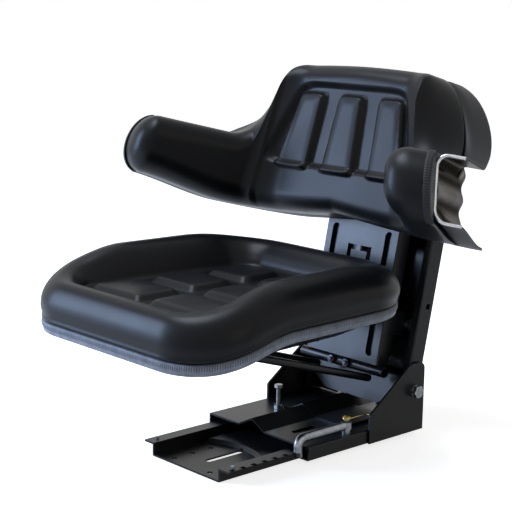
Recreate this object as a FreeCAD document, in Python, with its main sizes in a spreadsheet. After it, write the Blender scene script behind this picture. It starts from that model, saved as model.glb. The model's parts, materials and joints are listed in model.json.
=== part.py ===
import FreeCAD, Part
import math
import os
import Sketcher

# Tractor seat on a rear suspension tower. Millimetres. +Z up, the occupant faces -Y.
# The origin is at the centre of the base plate, on its underside.

DRIVING_SIZES = [
    # Base plate
    ("base_length", 417), ("base_width", 204), ("lip_width", 20.5), ("base_height", 22),
    ("base_sheet", 3), ("raised_step", 8), ("raised_margin", 15.5), ("raised_half_length", 112),
    ("raised_arc_depth", 20), ("raised_slope", 6), ("bolt_row_spacing", 86),
    ("bolt_outer_spacing", 390), ("bolt_middle_spacing", 316), ("bolt_inner_spacing", 240),
    ("base_hole_radius", 4.5), ("slot_width", 12), ("slot_length", 76), ("slot_centre", 128),
    ("notch_pitch", 22), ("notch_width", 9), ("notch_depth", 7), ("notch_count", 7),
    ("stop_rivet_radius", 3), ("stop_rivet_head", 4),
    # All sheet metal: a bend's outer radius as a share of the sheet, and how far a cut runs past
    # what it cuts
    ("bend_share", 0.9), ("cut_over", 1),
    # Carriage that slides on the base
    ("carriage_over", 17.5), ("carriage_front", 58), ("carriage_rear", 205), ("carriage_sheet", 3),
    ("deck_top", 32), ("channel_bottom", 9.4), ("channel_lip", 31.5), ("ridge_height", 16),
    ("ridge_left", 46), ("ridge_peak", 14), ("ridge_right", 16),
    ("stiffener_margin", 35.5), ("stiffener_front", 56), ("stiffener_rear", 155),
    ("deck_slot_x", 48), ("deck_slot_length", 50),
    ("shoe_length", 60), ("shoe_gap", 0.3), ("shoe_depth", 33), ("shoe_setback", 20), ("slide_travel", 150),
    # Side brackets
    ("bracket_sheet", 3.5), ("bracket_front", 76), ("bracket_nose", 57), ("bracket_crest_y", 172),
    ("bracket_crest", 126), ("bracket_back_y", 207), ("bracket_back_slant", 1), ("bracket_nose_round", 5),
    ("bracket_crest_round", 18), ("bracket_back_round", 12),
    # Tower
    ("pivot_y", 181), ("pivot_z", 80), ("tower_lean", 12.1), ("tower_side_gap", 2.5),
    ("tower_sheet", 3), ("tower_front", 12.5), ("tower_back", 19), ("tower_lip", 14),
    ("tower_foot", 44), ("tower_top", 400), ("foot_notch", 22), ("foot_plate_low", 35),
    ("foot_plate_high", 20),
    ("foot_plate_taper", 56), ("sight_hole", 9), ("sight_hole_height", 141), ("sight_hole_back", 5.5),
    ("pivot_radius", 6), ("pivot_head", 8), ("pivot_head_flats", 19), ("pivot_nut", 8),
    ("pivot_nut_flats", 16),
    ("pivot_washer", 5), ("pivot_washer_radius", 10.5), ("bolt_clearance", 0.3),
    ("spring_bar_height", 385), ("spring_bar_radius", 6),
    # Stop bolt
    ("stop_bolt_x", 60), ("stop_bolt_y", 45), ("stop_bolt_radius", 4), ("stop_gap", 0.4),
    ("stop_bolt_flats", 13), ("stop_bolt_head", 5.5), ("stop_nut_height", 6.5),
    # Slide lever
    ("lever_out", 3), ("lever_pin_y", 40), ("lever_height", 45), ("lever_radius", 7.5),
    ("lever_bore", 5.5), ("lever_front", 67), ("lever_bend", 12), ("lever_eye_radius", 9),
    ("lever_eye_height", 12), ("lever_pin_radius", 4), ("lever_fit", 0.05), ("lever_pin_top", 58),
    ("lever_tube_start", 7.65), ("lever_collar_radius", 7.2), ("tooth_gap", 0.5), ("tooth_top_gap", 2),
    ("tooth_sheet", 4), ("tooth_bottom", 16), ("return_wire", 1.5), ("return_turns", 4), ("return_leg", 42),
    # Suspended frame
    ("suspension_travel", 39), ("panel_side_gap", 34), ("panel_sheet", 2.5), ("panel_front", 57.5),
    ("panel_flange", 27.5), ("panel_foot", 32), ("panel_top", 400), ("groove_margin", 22),
    ("groove_width", 16), ("groove_depth", 7), ("groove_low", 52), ("groove_high", 245),
    ("lance_width", 54), ("lance_height", 40), ("lance_slot", 9), ("lance_top", 222),
    ("ear_height", 40), ("lower_axle_height", 105), ("upper_axle_height", 345),
    ("axle_radius", 5), ("axle_collar_radius", 8), ("stub_head", 4), ("roller_radius", 12.4),
    ("roller_width", 20), ("roller_fit", 0.05), ("roller_side_gap", 1), ("cross_tube_radius", 9),
    ("cross_tube_bore", 7),
    ("cross_tube_margin", 21), ("cross_tube_y", 48.5), ("cross_nut_flats", 13),
    ("cross_nut_height", 6), ("cross_nut_spacing", 34),
    # Seat support
    ("strut_x", 60), ("strut_gap", 0.4), ("strut_overrun", 4), ("strut_radius", 6.5),
    ("strut_bore", 4.5), ("strut_front_y", 205),
    ("strut_end_y", 245), ("strut_bend", 60), ("arm_x", 66), ("arm_width", 24), ("arm_depth", 12),
    ("arm_front_y", 40), ("arm_nose", 4), ("arm_nose_length", 24), ("pan_bolt_y", 40),
    ("pan_bolt_flats", 13), ("pan_bolt_head", 5.5),
    # Seat
    ("seat_front_width", 462), ("seat_rear_width", 424), ("seat_front_y", 360), ("seat_rear_y", 100),
    ("seat_front_corner", 96), ("seat_rear_corner", 118), ("pan_bottom", 209), ("pan_sheet", 2),
    ("pan_rim", 12), ("pan_inset", 5), ("pan_slope", 78), ("trim_out", 2), ("rim_front", 217),
    ("rim_side", 248), ("droop_length", 175), ("crest_front", 290), ("crest_side", 327),
    ("crest_rear", 312), ("crest_fall_y", -60), ("foam_gap", 0.6), ("ring_points", 44),
    ("rim_overrun", 25), ("rim_steps", 24),
    ("cushion_bulge", 8), ("recess_floor", 274), ("recess_front_width", 310),
    ("recess_rear_width", 236), ("recess_front_y", 312), ("recess_rear_y", 24),
    ("recess_corner", 42), ("recess_draft", 10), ("seat_pad_rise", 12), ("seat_pad_gap", 18),
    ("seat_pad_corner", 22), ("seat_pad_draft", 8), ("seat_pad_sink", 3),
    # Backrest
    ("back_lean", 15), ("back_wall", 52), ("back_flat", 160), ("back_round", 100),
    ("back_turn", 64), ("arm_length", 160), ("arm_tip", 34), ("back_crest", 633),
    ("arm_crest", 490), ("back_foot", 386), ("shoulder_start", 142), ("shoulder_end", 305),
    ("back_crown", 4), ("back_thickness", 62), ("shoulder_thickness", 80),
    ("arm_thickness", 74), ("swell_length", 71), ("back_seam", 4), ("corner_steps", 4),
    ("back_steps", 20), ("back_edge", 28), ("arm_edge", 38),
    ("back_flare_share", 0.086), ("foot_sag", 16), ("sag_middle", 272), ("foot_rise", 14),
    ("shell_sheet", 2), ("shell_flange", 29), ("arm_flange", 42), ("flange_change", 71),
    ("shell_round", 18), ("shell_round_steps", 3), ("shell_rib", 6), ("shell_rib_slope", 3),
    ("shell_rib_pitch", 21), ("rib_level", 440), ("shell_rib_land", 8), ("edge_trim", 2),
    ("end_trim", 20), ("end_trim_share", 0.9),
    ("back_recess_depth", 9), ("back_recess_top", 598), ("back_recess_foot", 452),
    ("back_recess_top_width", 236), ("back_recess_foot_width", 344), ("back_recess_corner", 26),
    ("back_recess_draft", 4), ("back_pad_sink", 4),
    ("back_pad_rise", 9), ("back_pad_top", 577), ("back_pad_foot", 450), ("back_pad_top_width", 44),
    ("back_pad_foot_width", 60), ("back_pad_top_pitch", 88), ("back_pad_foot_pitch", 106),
    ("back_pad_corner", 14), ("back_pad_draft", 6),
    ("back_mount_x", 55), ("back_mount_width", 30), ("back_mount_low", 396),
    ("back_mount_high", 446), ("back_bolt_flats", 13), ("back_bolt_head", 5.5),
    # Tension springs
    ("spring_x", 38), ("spring_radius", 12), ("spring_wire", 1.9),
]

doc = FreeCAD.newDocument("tractor_seat")
sheet = doc.addObject("Spreadsheet::Sheet", "Sizes")


class Dim:
    """A number together with the spreadsheet formula that gives it."""

    def __init__(self, value, formula):
        self.value = float(value)
        self.formula = formula

    def __float__(self):
        return self.value

    def __add__(self, other):
        return joined(self, "+", other, self.value + float(other))

    def __radd__(self, other):
        return joined(other, "+", self, float(other) + self.value)

    def __sub__(self, other):
        return joined(self, "-", other, self.value - float(other))

    def __rsub__(self, other):
        return joined(other, "-", self, float(other) - self.value)

    def __mul__(self, other):
        return joined(self, "*", other, self.value * float(other))

    def __rmul__(self, other):
        return joined(other, "*", self, float(other) * self.value)

    def __truediv__(self, other):
        return joined(self, "/", other, self.value / float(other))

    def __neg__(self):
        return Dim(-self.value, "(-" + self.formula + ")")


def formula_of(item):
    return item.formula if isinstance(item, Dim) else "(" + repr(float(item)) + ")"


def joined(first, sign, second, value):
    return Dim(value, "(" + formula_of(first) + sign + formula_of(second) + ")")


def cosine(angle):
    return Dim(math.cos(math.radians(float(angle))), "cos(" + formula_of(angle) + ")")


def sine(angle):
    return Dim(math.sin(math.radians(float(angle))), "sin(" + formula_of(angle) + ")")


def tangent(angle):
    return Dim(math.tan(math.radians(float(angle))), "tan(" + formula_of(angle) + ")")


class Sizes:
    """Every driving size under its own name."""


S = Sizes()
for row, (alias, amount) in enumerate(DRIVING_SIZES, start=1):
    sheet.set("A%d" % row, alias)
    sheet.set("B%d" % row, str(amount))
    sheet.setAlias("B%d" % row, alias)
    setattr(S, alias, Dim(amount, "Sizes." + alias))
doc.recompute()

# Widths that follow from the base plate, so that what slides or rolls keeps its fit
S.floor_width = S.base_width - S.lip_width * 2
S.raised_half_width = S.floor_width / 2 - S.raised_margin
S.carriage_width = S.base_width + S.carriage_over * 2
S.stiffener_half_width = S.carriage_width / 2 - S.stiffener_margin
S.tower_width = S.carriage_width - S.tower_side_gap * 2
S.panel_width = S.tower_width - S.panel_side_gap * 2
S.groove_spacing = S.panel_width - S.groove_margin * 2
S.cross_tube_width = S.tower_width - S.cross_tube_margin * 2
S.lever_x = S.base_width / 2 + S.lever_out

nodes = {}
X_AXIS = FreeCAD.Vector(1, 0, 0)
Y_AXIS = FreeCAD.Vector(0, 1, 0)
Z_AXIS = FreeCAD.Vector(0, 0, 1)
SIDES = (("left", 1), ("right", -1))


# General helpers

def vector(x, y, z):
    return FreeCAD.Vector(float(x), float(y), float(z))


def bind(item, field, dim):
    item.setExpression(field, formula_of(dim))


def bind_place(item, x, y, z, prefix="Placement.Base."):
    for axis, dim in zip("xyz", (x, y, z)):
        bind(item, prefix + axis, dim)


def keep(name, item):
    item.Label = name
    nodes[name] = item
    return item


def leaning(origin, lean):
    """A frame that leans back: its z runs up the slope and its y points to the rear."""
    return FreeCAD.Placement(origin, FreeCAD.Rotation(X_AXIS, -float(lean)))


TOWER = leaning(vector(0, S.pivot_y, S.pivot_z), S.tower_lean)
BACK = leaning(vector(0, 0, 0), S.back_lean)


def tower_point(y, z):
    """Where a point of the tower's frame lies in the part's frame, as (y, z)."""
    c = cosine(S.tower_lean)
    s = sine(S.tower_lean)
    return S.pivot_y + y * c + z * s, S.pivot_z - y * s + z * c


def new_body(name):
    return keep(name, doc.addObject("PartDesign::Body", name))


def sketch_on(body, plane, name, offset=0):
    origin = [item for item in body.Origin.OriginFeatures if item.Role == plane][0]
    sketch = body.newObject("Sketcher::SketchObject", name)
    sketch.AttachmentSupport = [(origin, "")]
    sketch.MapMode = "FlatFace"
    bind(sketch, "AttachmentOffset.Base.z", offset)
    return sketch


def fix(sketch, kind, geometry, point, dim):
    index = sketch.addConstraint(Sketcher.Constraint(kind, -1, 1, geometry, point, float(dim)))
    sketch.setExpression("Constraints[%d]" % index, formula_of(dim))


def add_loop(sketch, corners):
    """Closed outline. A corner is (x, y), or (x, y, centre x, centre y) where an arc starts,
    which then runs counter-clockwise to the next corner."""
    first = sketch.GeometryCount
    count = len(corners)
    for index, corner in enumerate(corners):
        start = vector(corner[0], corner[1], 0)
        end = vector(corners[(index + 1) % count][0], corners[(index + 1) % count][1], 0)
        if len(corner) == 2:
            sketch.addGeometry(Part.LineSegment(start, end), False)
            continue
        centre = vector(corner[2], corner[3], 0)
        circle = Part.Circle(centre, Z_AXIS, (start - centre).Length)
        from_angle = math.atan2(start.y - centre.y, start.x - centre.x)
        to_angle = math.atan2(end.y - centre.y, end.x - centre.x)
        if to_angle <= from_angle:
            to_angle += 2 * math.pi
        sketch.addGeometry(Part.ArcOfCircle(circle, from_angle, to_angle), False)
    for index in range(count):
        following = first + (index + 1) % count
        sketch.addConstraint(Sketcher.Constraint("Coincident", first + index, 2, following, 1))
    for index, corner in enumerate(corners):
        fix(sketch, "DistanceX", first + index, 1, corner[0])
        fix(sketch, "DistanceY", first + index, 1, corner[1])
        if len(corner) == 4:
            following = corners[(index + 1) % count]
            level = abs(float(corner[1]) - float(following[1])) < abs(float(corner[0]) - float(following[0]))
            if level:
                fix(sketch, "DistanceY", first + index, 3, corner[3])
            else:
                fix(sketch, "DistanceX", first + index, 3, corner[2])


def add_circle(sketch, x, y, radius):
    index = sketch.addGeometry(Part.Circle(vector(x, y, 0), Z_AXIS, float(radius)), False)
    fix(sketch, "DistanceX", index, 3, x)
    fix(sketch, "DistanceY", index, 3, y)
    which = sketch.addConstraint(Sketcher.Constraint("Radius", index, float(radius)))
    sketch.setExpression("Constraints[%d]" % which, formula_of(radius))


def rectangle(x0, x1, y0, y1):
    return [(x0, y0), (x1, y0), (x1, y1), (x0, y1)]


def upright_slot(x, low, high, half):
    """Slot with round ends, given by the centres of its two ends."""
    return [(x - half, low, x, low), (x + half, low), (x + half, high, x, high), (x - half, high)]


def pad(body, sketch, length, symmetric=False, reverse=False):
    feature = body.newObject("PartDesign::Pad", sketch.Name + "Pad")
    feature.Profile = sketch
    bind(feature, "Length", length)
    feature.SideType = "Symmetric" if symmetric else "One side"
    feature.Reversed = reverse
    return feature


def pocket(body, sketch, length=None, reverse=False):
    """Cut of a given depth, or right through both ways."""
    feature = body.newObject("PartDesign::Pocket", sketch.Name + "Pocket")
    feature.Profile = sketch
    if length is None:
        feature.Type = "ThroughAll"
        feature.SideType = "Symmetric"
    else:
        bind(feature, "Length", length)
        feature.Reversed = reverse
    return feature


def round_edges(body, base, name, radius, chosen):
    doc.recompute()
    edges = ["Edge%d" % (i + 1) for i, edge in enumerate(base.Shape.Edges) if chosen(edge)]
    feature = body.newObject("PartDesign::Fillet", name)
    feature.Base = (base, edges)
    bind(feature, "Radius", radius)
    return feature


def near_line(edge, axis, first, second, reach=0.2):
    """True for a straight edge along an axis through the two other coordinates given."""
    if len(edge.Vertexes) != 2 or not isinstance(edge.Curve, Part.Line):
        return False
    others = [i for i in range(3) if i != axis]
    target = (float(first), float(second))
    for vertex in edge.Vertexes:
        point = vertex.Point
        if any(abs(point[i] - t) > reach for i, t in zip(others, target)):
            return False
    return True


def cylinder(name, radius, height, x, y, z, direction=Z_AXIS):
    item = doc.addObject("Part::Cylinder", name)
    bind(item, "Radius", radius)
    bind(item, "Height", height)
    item.Placement = FreeCAD.Placement(vector(x, y, z), FreeCAD.Rotation(Z_AXIS, direction))
    bind_place(item, x, y, z)
    return item


def hexagon(name, flats, height, x, y, z, direction=Z_AXIS):
    item = doc.addObject("Part::Prism", name)
    item.Polygon = 6
    bind(item, "Circumradius", flats / (2 * cosine(30)))
    bind(item, "Height", height)
    item.Placement = FreeCAD.Placement(vector(x, y, z), FreeCAD.Rotation(Z_AXIS, direction))
    bind_place(item, x, y, z)
    return item


def box(name, x0, x1, y0, y1, z0, z1):
    item = doc.addObject("Part::Box", name)
    bind(item, "Length", x1 - x0)
    bind(item, "Width", y1 - y0)
    bind(item, "Height", z1 - z0)
    bind_place(item, x0, y0, z0)
    return item


def fuse(name, items):
    item = doc.addObject("Part::MultiFuse", name)
    item.Shapes = items
    item.Refine = True
    return item


def cut(name, base, tool):
    item = doc.addObject("Part::Cut", name)
    item.Base = base
    item.Tool = tool
    return item


def group(name, items, placement=None):
    item = doc.addObject("Part::Compound", name)
    item.Links = items
    if placement:
        item.Placement = placement
    return keep(name, item)


def solid(name, shape, placement=None):
    """A formed piece whose surface comes from a rule and not from a sketch."""
    item = doc.addObject("Part::Feature", name)
    item.Shape = shape
    if placement:
        item.Placement = placement
    return keep(name, item)


# Base plate: pressed floor, upturned sides and out-turned lips, with the near lip notched

def make_base_plate():
    body = new_body("base_plate")
    outer = S.floor_width / 2
    inner = outer - S.base_sheet
    lip = S.base_width / 2
    under_lip = S.base_height - S.base_sheet
    profile = sketch_on(body, "XZ_Plane", "BaseProfile")
    add_loop(profile, [
        (-outer, 0), (outer, 0), (outer, under_lip), (lip, under_lip), (lip, S.base_height),
        (inner, S.base_height), (inner, S.base_sheet), (-inner, S.base_sheet),
        (-inner, S.base_height), (-lip, S.base_height), (-lip, under_lip), (-outer, under_lip)])
    folded = pad(body, profile, S.base_length, symmetric=True)
    round_edges(body, folded, "BaseBends", S.base_sheet * S.bend_share,
                lambda edge: near_line(edge, 1, outer, 0) or near_line(edge, 1, -outer, 0))
    raised = sketch_on(body, "XY_Plane", "BaseRaised")
    add_loop(raised, rectangle(-S.raised_half_width, S.raised_half_width,
                               -S.raised_half_length, S.raised_half_length))
    pad(body, raised, S.raised_step + S.base_sheet)
    hollow_half = S.raised_half_length - S.raised_arc_depth - S.base_sheet - S.raised_slope
    hollow = sketch_on(body, "XY_Plane", "BaseHollow")
    add_loop(hollow, rectangle(-(S.raised_half_width - S.base_sheet),
                               S.raised_half_width - S.base_sheet, -hollow_half, hollow_half))
    pocket(body, hollow, S.raised_step, reverse=True)
    arcs = sketch_on(body, "XY_Plane", "BaseArcs", S.raised_step + S.base_sheet)
    wide = S.raised_half_width
    arc_radius = (wide * wide + S.raised_arc_depth * S.raised_arc_depth) / (2 * S.raised_arc_depth)
    arc_centre = S.raised_half_length - S.raised_arc_depth + arc_radius
    for end in (-1, 1):
        edge = end * S.raised_half_length
        add_loop(arcs, [(-end * wide, edge, Dim(0, "0"), end * arc_centre), (end * wide, edge)])
    stepped = pocket(body, arcs, S.raised_step)
    crown = float(S.raised_step + S.base_sheet)
    slope = body.newObject("PartDesign::Chamfer", "RaisedSlope")
    doc.recompute()
    rims = ["Edge%d" % (i + 1) for i, edge in enumerate(stepped.Shape.Edges)
            if isinstance(edge.Curve, Part.Circle) and edge.BoundBox.ZMin > crown - 0.1
            and edge.BoundBox.ZMax < crown + 0.1 and edge.BoundBox.XLength > float(wide)]
    slope.Base = (stepped, rims)
    bind(slope, "Size", S.raised_slope)
    holes = sketch_on(body, "XY_Plane", "BaseHoles")
    for spacing in (S.bolt_outer_spacing, S.bolt_middle_spacing, S.bolt_inner_spacing):
        for across in (-1, 1):
            for along in (-1, 1):
                add_circle(holes, across * S.bolt_row_spacing / 2, along * spacing / 2,
                           S.base_hole_radius)
    pocket(body, holes)
    slots = sketch_on(body, "XY_Plane", "BaseSlots")
    reach = S.slot_length / 2 - S.slot_width / 2
    for along in (-1, 1):
        middle = along * S.slot_centre
        add_loop(slots, upright_slot(Dim(0, "0"), middle - reach, middle + reach, S.slot_width / 2))
    pocket(body, slots)
    notches = sketch_on(body, "XY_Plane", "BaseNotches")
    for index in range(int(float(S.notch_count))):
        middle = -(S.lever_front + index * S.notch_pitch)
        add_loop(notches, rectangle(lip - S.notch_depth, lip + S.cut_over,
                                    middle - S.notch_width / 2, middle + S.notch_width / 2))
    pocket(body, notches)


def make_stop_rivets():
    """Rivets at the ends of both lips, which keep the carriage on the base."""
    across = (S.base_width + S.floor_width) / 4
    beyond = S.stop_rivet_radius + S.shoe_gap
    front = -(S.carriage_front - S.shoe_setback + S.slide_travel + beyond)
    rear = S.carriage_rear - S.shoe_setback + beyond
    items = []
    for side_name, side in SIDES:
        for index, y in enumerate((front, rear)):
            items.append(cylinder("%sStopRivet%d" % (side_name, index), S.stop_rivet_radius,
                                  S.stop_rivet_head, side * across, y, S.base_height))
    group("rail_stop_rivets", items)


# Carriage: deck with a ridge, and two channels that wrap round the lips of the base

def carriage_half():
    return S.carriage_width / 2


def channel_inner_lip():
    return carriage_half() - S.channel_lip


def make_carriage_plate():
    body = new_body("carriage_plate")
    half = carriage_half()
    wall = half - S.carriage_sheet
    lip = channel_inner_lip()
    low = S.channel_bottom
    under = S.deck_top - S.carriage_sheet
    peak = S.deck_top + S.ridge_height
    profile = sketch_on(body, "XZ_Plane", "CarriageProfile", S.carriage_front)
    add_loop(profile, [
        (-lip, low), (-half, low), (-half, S.deck_top), (-S.ridge_left, S.deck_top),
        (-S.ridge_peak, peak), (S.ridge_right, S.deck_top), (half, S.deck_top), (half, low),
        (lip, low), (lip, low + S.carriage_sheet), (wall, low + S.carriage_sheet), (wall, under),
        (S.ridge_right, under), (-S.ridge_peak, peak - S.carriage_sheet), (-S.ridge_left, under),
        (-wall, under), (-wall, low + S.carriage_sheet), (-lip, low + S.carriage_sheet)])
    folded = pad(body, profile, S.carriage_front + S.carriage_rear, reverse=True)
    round_edges(body, folded, "CarriageBends", S.carriage_sheet * S.bend_share,
                lambda edge: near_line(edge, 1, half, S.deck_top)
                or near_line(edge, 1, -half, S.deck_top)
                or near_line(edge, 1, half, low) or near_line(edge, 1, -half, low))
    holes = sketch_on(body, "XY_Plane", "CarriageHoles")
    add_circle(holes, -S.stop_bolt_x, S.stop_bolt_y, S.stop_bolt_radius + S.bolt_clearance)
    reach = (S.deck_slot_length - S.slot_width) / 2
    add_loop(holes, upright_slot(S.deck_slot_x, -reach, reach, S.slot_width / 2))
    pocket(body, holes)


def make_rear_stiffener():
    """Second layer of sheet over the rear of the deck, with the same ridge."""
    body = new_body("rear_stiffener")
    half = S.stiffener_half_width
    top = S.deck_top + S.carriage_sheet
    peak = S.deck_top + S.ridge_height
    profile = sketch_on(body, "XZ_Plane", "StiffenerProfile", -S.stiffener_front)
    add_loop(profile, [
        (-half, S.deck_top), (-S.ridge_left, S.deck_top), (-S.ridge_peak, peak),
        (S.ridge_right, S.deck_top), (half, S.deck_top), (half, top), (S.ridge_right, top),
        (-S.ridge_peak, peak + S.carriage_sheet), (-S.ridge_left, top), (-half, top)])
    pad(body, profile, S.stiffener_rear - S.stiffener_front, reverse=True)


def make_slide_shoes():
    """Four nylon shoes that fill the channels and grip the lips of the base."""
    wall = carriage_half() - S.carriage_sheet
    low = S.channel_bottom + S.carriage_sheet
    high = S.deck_top - S.carriage_sheet
    lip = S.base_width / 2 + S.shoe_gap
    lip_low = S.base_height - S.base_sheet - S.shoe_gap
    lip_high = S.base_height + S.shoe_gap
    starts = (-(S.carriage_front - S.shoe_setback), S.carriage_rear - S.shoe_length - S.shoe_setback)
    items = []
    for side_name, side in SIDES:
        for index, start in enumerate(starts):
            name = "%sShoe%d" % (side_name, index)
            edges = (side * wall, side * (wall - S.shoe_depth))
            slot_edges = (side * lip, side * (wall - S.shoe_depth - S.cut_over))
            x0, x1 = sorted(edges, key=float)
            s0, s1 = sorted(slot_edges, key=float)
            block = box(name + "Block", x0, x1, start, start + S.shoe_length, low, high)
            slot = box(name + "Slot", s0, s1, start - S.cut_over, start + S.shoe_length + S.cut_over,
                       lip_low, lip_high)
            items.append(cut(name, block, slot))
    group("slide_shoes", items)


# Side brackets: flat plates welded outside the channels

def make_brackets():
    for side_name, side in SIDES:
        body = new_body(side_name + "_bracket")
        outline = sketch_on(body, "YZ_Plane", side_name.title() + "BracketOutline")
        low = S.channel_bottom
        back_low = S.bracket_back_y - S.bracket_back_slant
        add_loop(outline, [
            (S.bracket_front, low), (back_low, low), (S.bracket_back_y, S.bracket_crest),
            (S.bracket_crest_y, S.bracket_crest), (S.bracket_front, S.bracket_nose)])
        plate = pad(body, outline, S.bracket_sheet)
        corners = (("Nose", S.bracket_nose_round, S.bracket_front, S.bracket_nose),
                   ("Crest", S.bracket_crest_round, S.bracket_crest_y, S.bracket_crest),
                   ("Back", S.bracket_back_round, S.bracket_back_y, S.bracket_crest))
        for label, radius, y, z in corners:
            plate = round_edges(body, plate, side_name.title() + "Bracket" + label, radius,
                                lambda edge, y=y, z=z: near_line(edge, 0, y, z))
        hole = sketch_on(body, "YZ_Plane", side_name.title() + "BracketHole")
        add_circle(hole, S.pivot_y, S.pivot_z, S.pivot_radius + S.bolt_clearance)
        pocket(body, hole)
        x = carriage_half() if side > 0 else -(carriage_half() + S.bracket_sheet)
        bind(body, "Placement.Base.x", x)


# Tower: a deep channel that leans back, with its open side and its lips to the front

def make_tower_channel():
    body = new_body("tower_channel")
    half = S.tower_width / 2
    wall = half - S.tower_sheet
    lip = half - S.tower_lip
    front = -S.tower_front
    web = S.tower_back - S.tower_sheet
    profile = sketch_on(body, "XY_Plane", "TowerProfile", -S.tower_foot)
    add_loop(profile, [
        (-half, S.tower_back), (-half, front), (-lip, front), (-lip, front + S.tower_sheet),
        (-wall, front + S.tower_sheet), (-wall, web), (wall, web), (wall, front + S.tower_sheet),
        (lip, front + S.tower_sheet), (lip, front), (half, front), (half, S.tower_back)])
    folded = pad(body, profile, S.tower_foot + S.tower_top)
    round_edges(body, folded, "TowerBends", S.tower_sheet * S.bend_share,
                lambda edge: near_line(edge, 2, half, S.tower_back)
                or near_line(edge, 2, -half, S.tower_back)
                or near_line(edge, 2, half, front) or near_line(edge, 2, -half, front))
    holes = sketch_on(body, "YZ_Plane", "TowerHoles")
    add_circle(holes, 0, 0, S.pivot_radius + S.bolt_clearance)
    hole = S.sight_hole / 2
    add_loop(holes, rectangle(S.sight_hole_back - hole, S.sight_hole_back + hole,
                              S.sight_hole_height - hole, S.sight_hole_height + hole))
    pocket(body, holes)
    notch = sketch_on(body, "XZ_Plane", "TowerFootNotch")
    add_loop(notch, rectangle(-(S.ridge_left + S.ridge_height), S.ridge_right + S.ridge_height,
                              -(S.tower_foot + S.tower_sheet), S.foot_notch - S.tower_foot))
    pocket(body, notch)
    body.Placement = TOWER


def make_tower_foot_plate():
    """Cross plate welded over the lips at the foot of the tower."""
    body = new_body("tower_foot_plate")
    half = S.tower_width / 2
    outline = sketch_on(body, "XZ_Plane", "FootPlateOutline", S.tower_front)
    add_loop(outline, [
        (-(half - S.foot_plate_taper), -S.foot_plate_low), (half - S.foot_plate_taper, -S.foot_plate_low),
        (half, 0), (half, S.foot_plate_high), (-half, S.foot_plate_high), (-half, 0)])
    pad(body, outline, S.tower_sheet)
    body.Placement = TOWER


def roller_line():
    """How far the roller axles lie behind the pivot, in the tower's frame."""
    return (S.tower_back - S.tower_front) / 2


def make_tower_fasteners():
    bracket_in = carriage_half()
    bracket_out = bracket_in + S.bracket_sheet
    tower_in = S.tower_width / 2 - S.tower_sheet
    bolts, washers, spacers, nuts = [], [], [], []
    for side_name, side in SIDES:
        out = X_AXIS * side
        seat = bracket_out + S.pivot_washer
        end = tower_in - S.pivot_nut
        name = side_name.title() + "Pivot"
        shank = cylinder(name + "Shank", S.pivot_radius, seat - end, side * end,
                         S.pivot_y, S.pivot_z, out)
        head = hexagon(name + "Head", S.pivot_head_flats, S.pivot_head, side * seat,
                       S.pivot_y, S.pivot_z, out)
        bolts.append(fuse(name + "Bolt", [shank, head]))
        rings = ((washers, "Washer", bracket_out, S.pivot_washer),
                 (spacers, "Spacer", S.tower_width / 2, bracket_in - S.tower_width / 2))
        for kept, label, start, length in rings:
            ring = cylinder(name + label + "Ring", S.pivot_washer_radius, length, side * start,
                            S.pivot_y, S.pivot_z, out)
            bore = cylinder(name + label + "Bore", S.pivot_radius, length, side * start,
                            S.pivot_y, S.pivot_z, out)
            kept.append(cut(name + label, ring, bore))
        nut = hexagon(name + "NutBlank", S.pivot_nut_flats, S.pivot_nut, side * end,
                      S.pivot_y, S.pivot_z, out)
        bore = cylinder(name + "NutBore", S.pivot_radius, S.pivot_nut, side * end,
                        S.pivot_y, S.pivot_z, out)
        nuts.append(cut(name + "Nut", nut, bore))
    group("tower_bolts", bolts)
    group("tower_washers", washers)
    group("tower_spacers", spacers)
    group("tower_nuts", nuts)


def make_spring_bar():
    inside = S.tower_width / 2 - S.tower_sheet
    bar = cylinder("SpringBarRod", S.spring_bar_radius, inside * 2, -inside, roller_line(),
                   S.spring_bar_height, X_AXIS)
    group("spring_bar", [bar], TOWER)


def stop_bolt_top():
    """Height of the stop bolt: the strut above it just fails to touch it at full travel."""
    front_y, front_z = strut_front()
    rear_y, rear_z = strut_rear()
    slope = (rear_z - front_z) / (rear_y - front_y)
    lean = math.radians(float(S.tower_lean))
    travel = float(S.suspension_travel)
    y = float(S.stop_bolt_y + S.stop_bolt_flats / 2) + travel * math.sin(lean)
    axis = front_z + slope * (y - front_y) - travel * math.cos(lean)
    height = axis - float(S.strut_radius) * math.hypot(1, slope) - float(S.stop_gap)
    return Dim(height, repr(height))


def make_stop_bolt():
    under_head = stop_bolt_top() - S.stop_bolt_head
    under_deck = S.deck_top - S.carriage_sheet
    shank = cylinder("StopBoltShank", S.stop_bolt_radius, under_head - under_deck,
                     -S.stop_bolt_x, S.stop_bolt_y, under_deck)
    head = hexagon("StopBoltHead", S.stop_bolt_flats, S.stop_bolt_head, -S.stop_bolt_x,
                   S.stop_bolt_y, under_head)
    keep("stop_bolt", fuse("StopBolt", [shank, head]))
    blank = hexagon("StopNutBlank", S.stop_bolt_flats, S.stop_nut_height, -S.stop_bolt_x,
                    S.stop_bolt_y, S.deck_top)
    bore = cylinder("StopNutBore", S.stop_bolt_radius, S.stop_nut_height, -S.stop_bolt_x,
                    S.stop_bolt_y, S.deck_top)
    keep("stop_bolt_nut", cut("StopBoltNut", blank, bore))


# Swept round bars

def bent_path(points, radius):
    """Straight runs joined by tangent arcs of one radius."""
    edges = []
    start = points[0]
    for before, corner, after in zip(points, points[1:], points[2:]):
        toward = (before - corner).normalize()
        away = (after - corner).normalize()
        half_turn = (math.pi - toward.getAngle(away)) / 2
        reach = radius * math.tan(half_turn)
        first = corner + toward * reach
        last = corner + away * reach
        inward = (toward + away).normalize()
        middle = corner + inward * (radius / math.cos(half_turn) - radius)
        edges.append(Part.LineSegment(start, first).toShape())
        edges.append(Part.Arc(first, middle, last).toShape())
        start = last
    edges.append(Part.LineSegment(start, points[-1]).toShape())
    return Part.Wire(edges)


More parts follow.
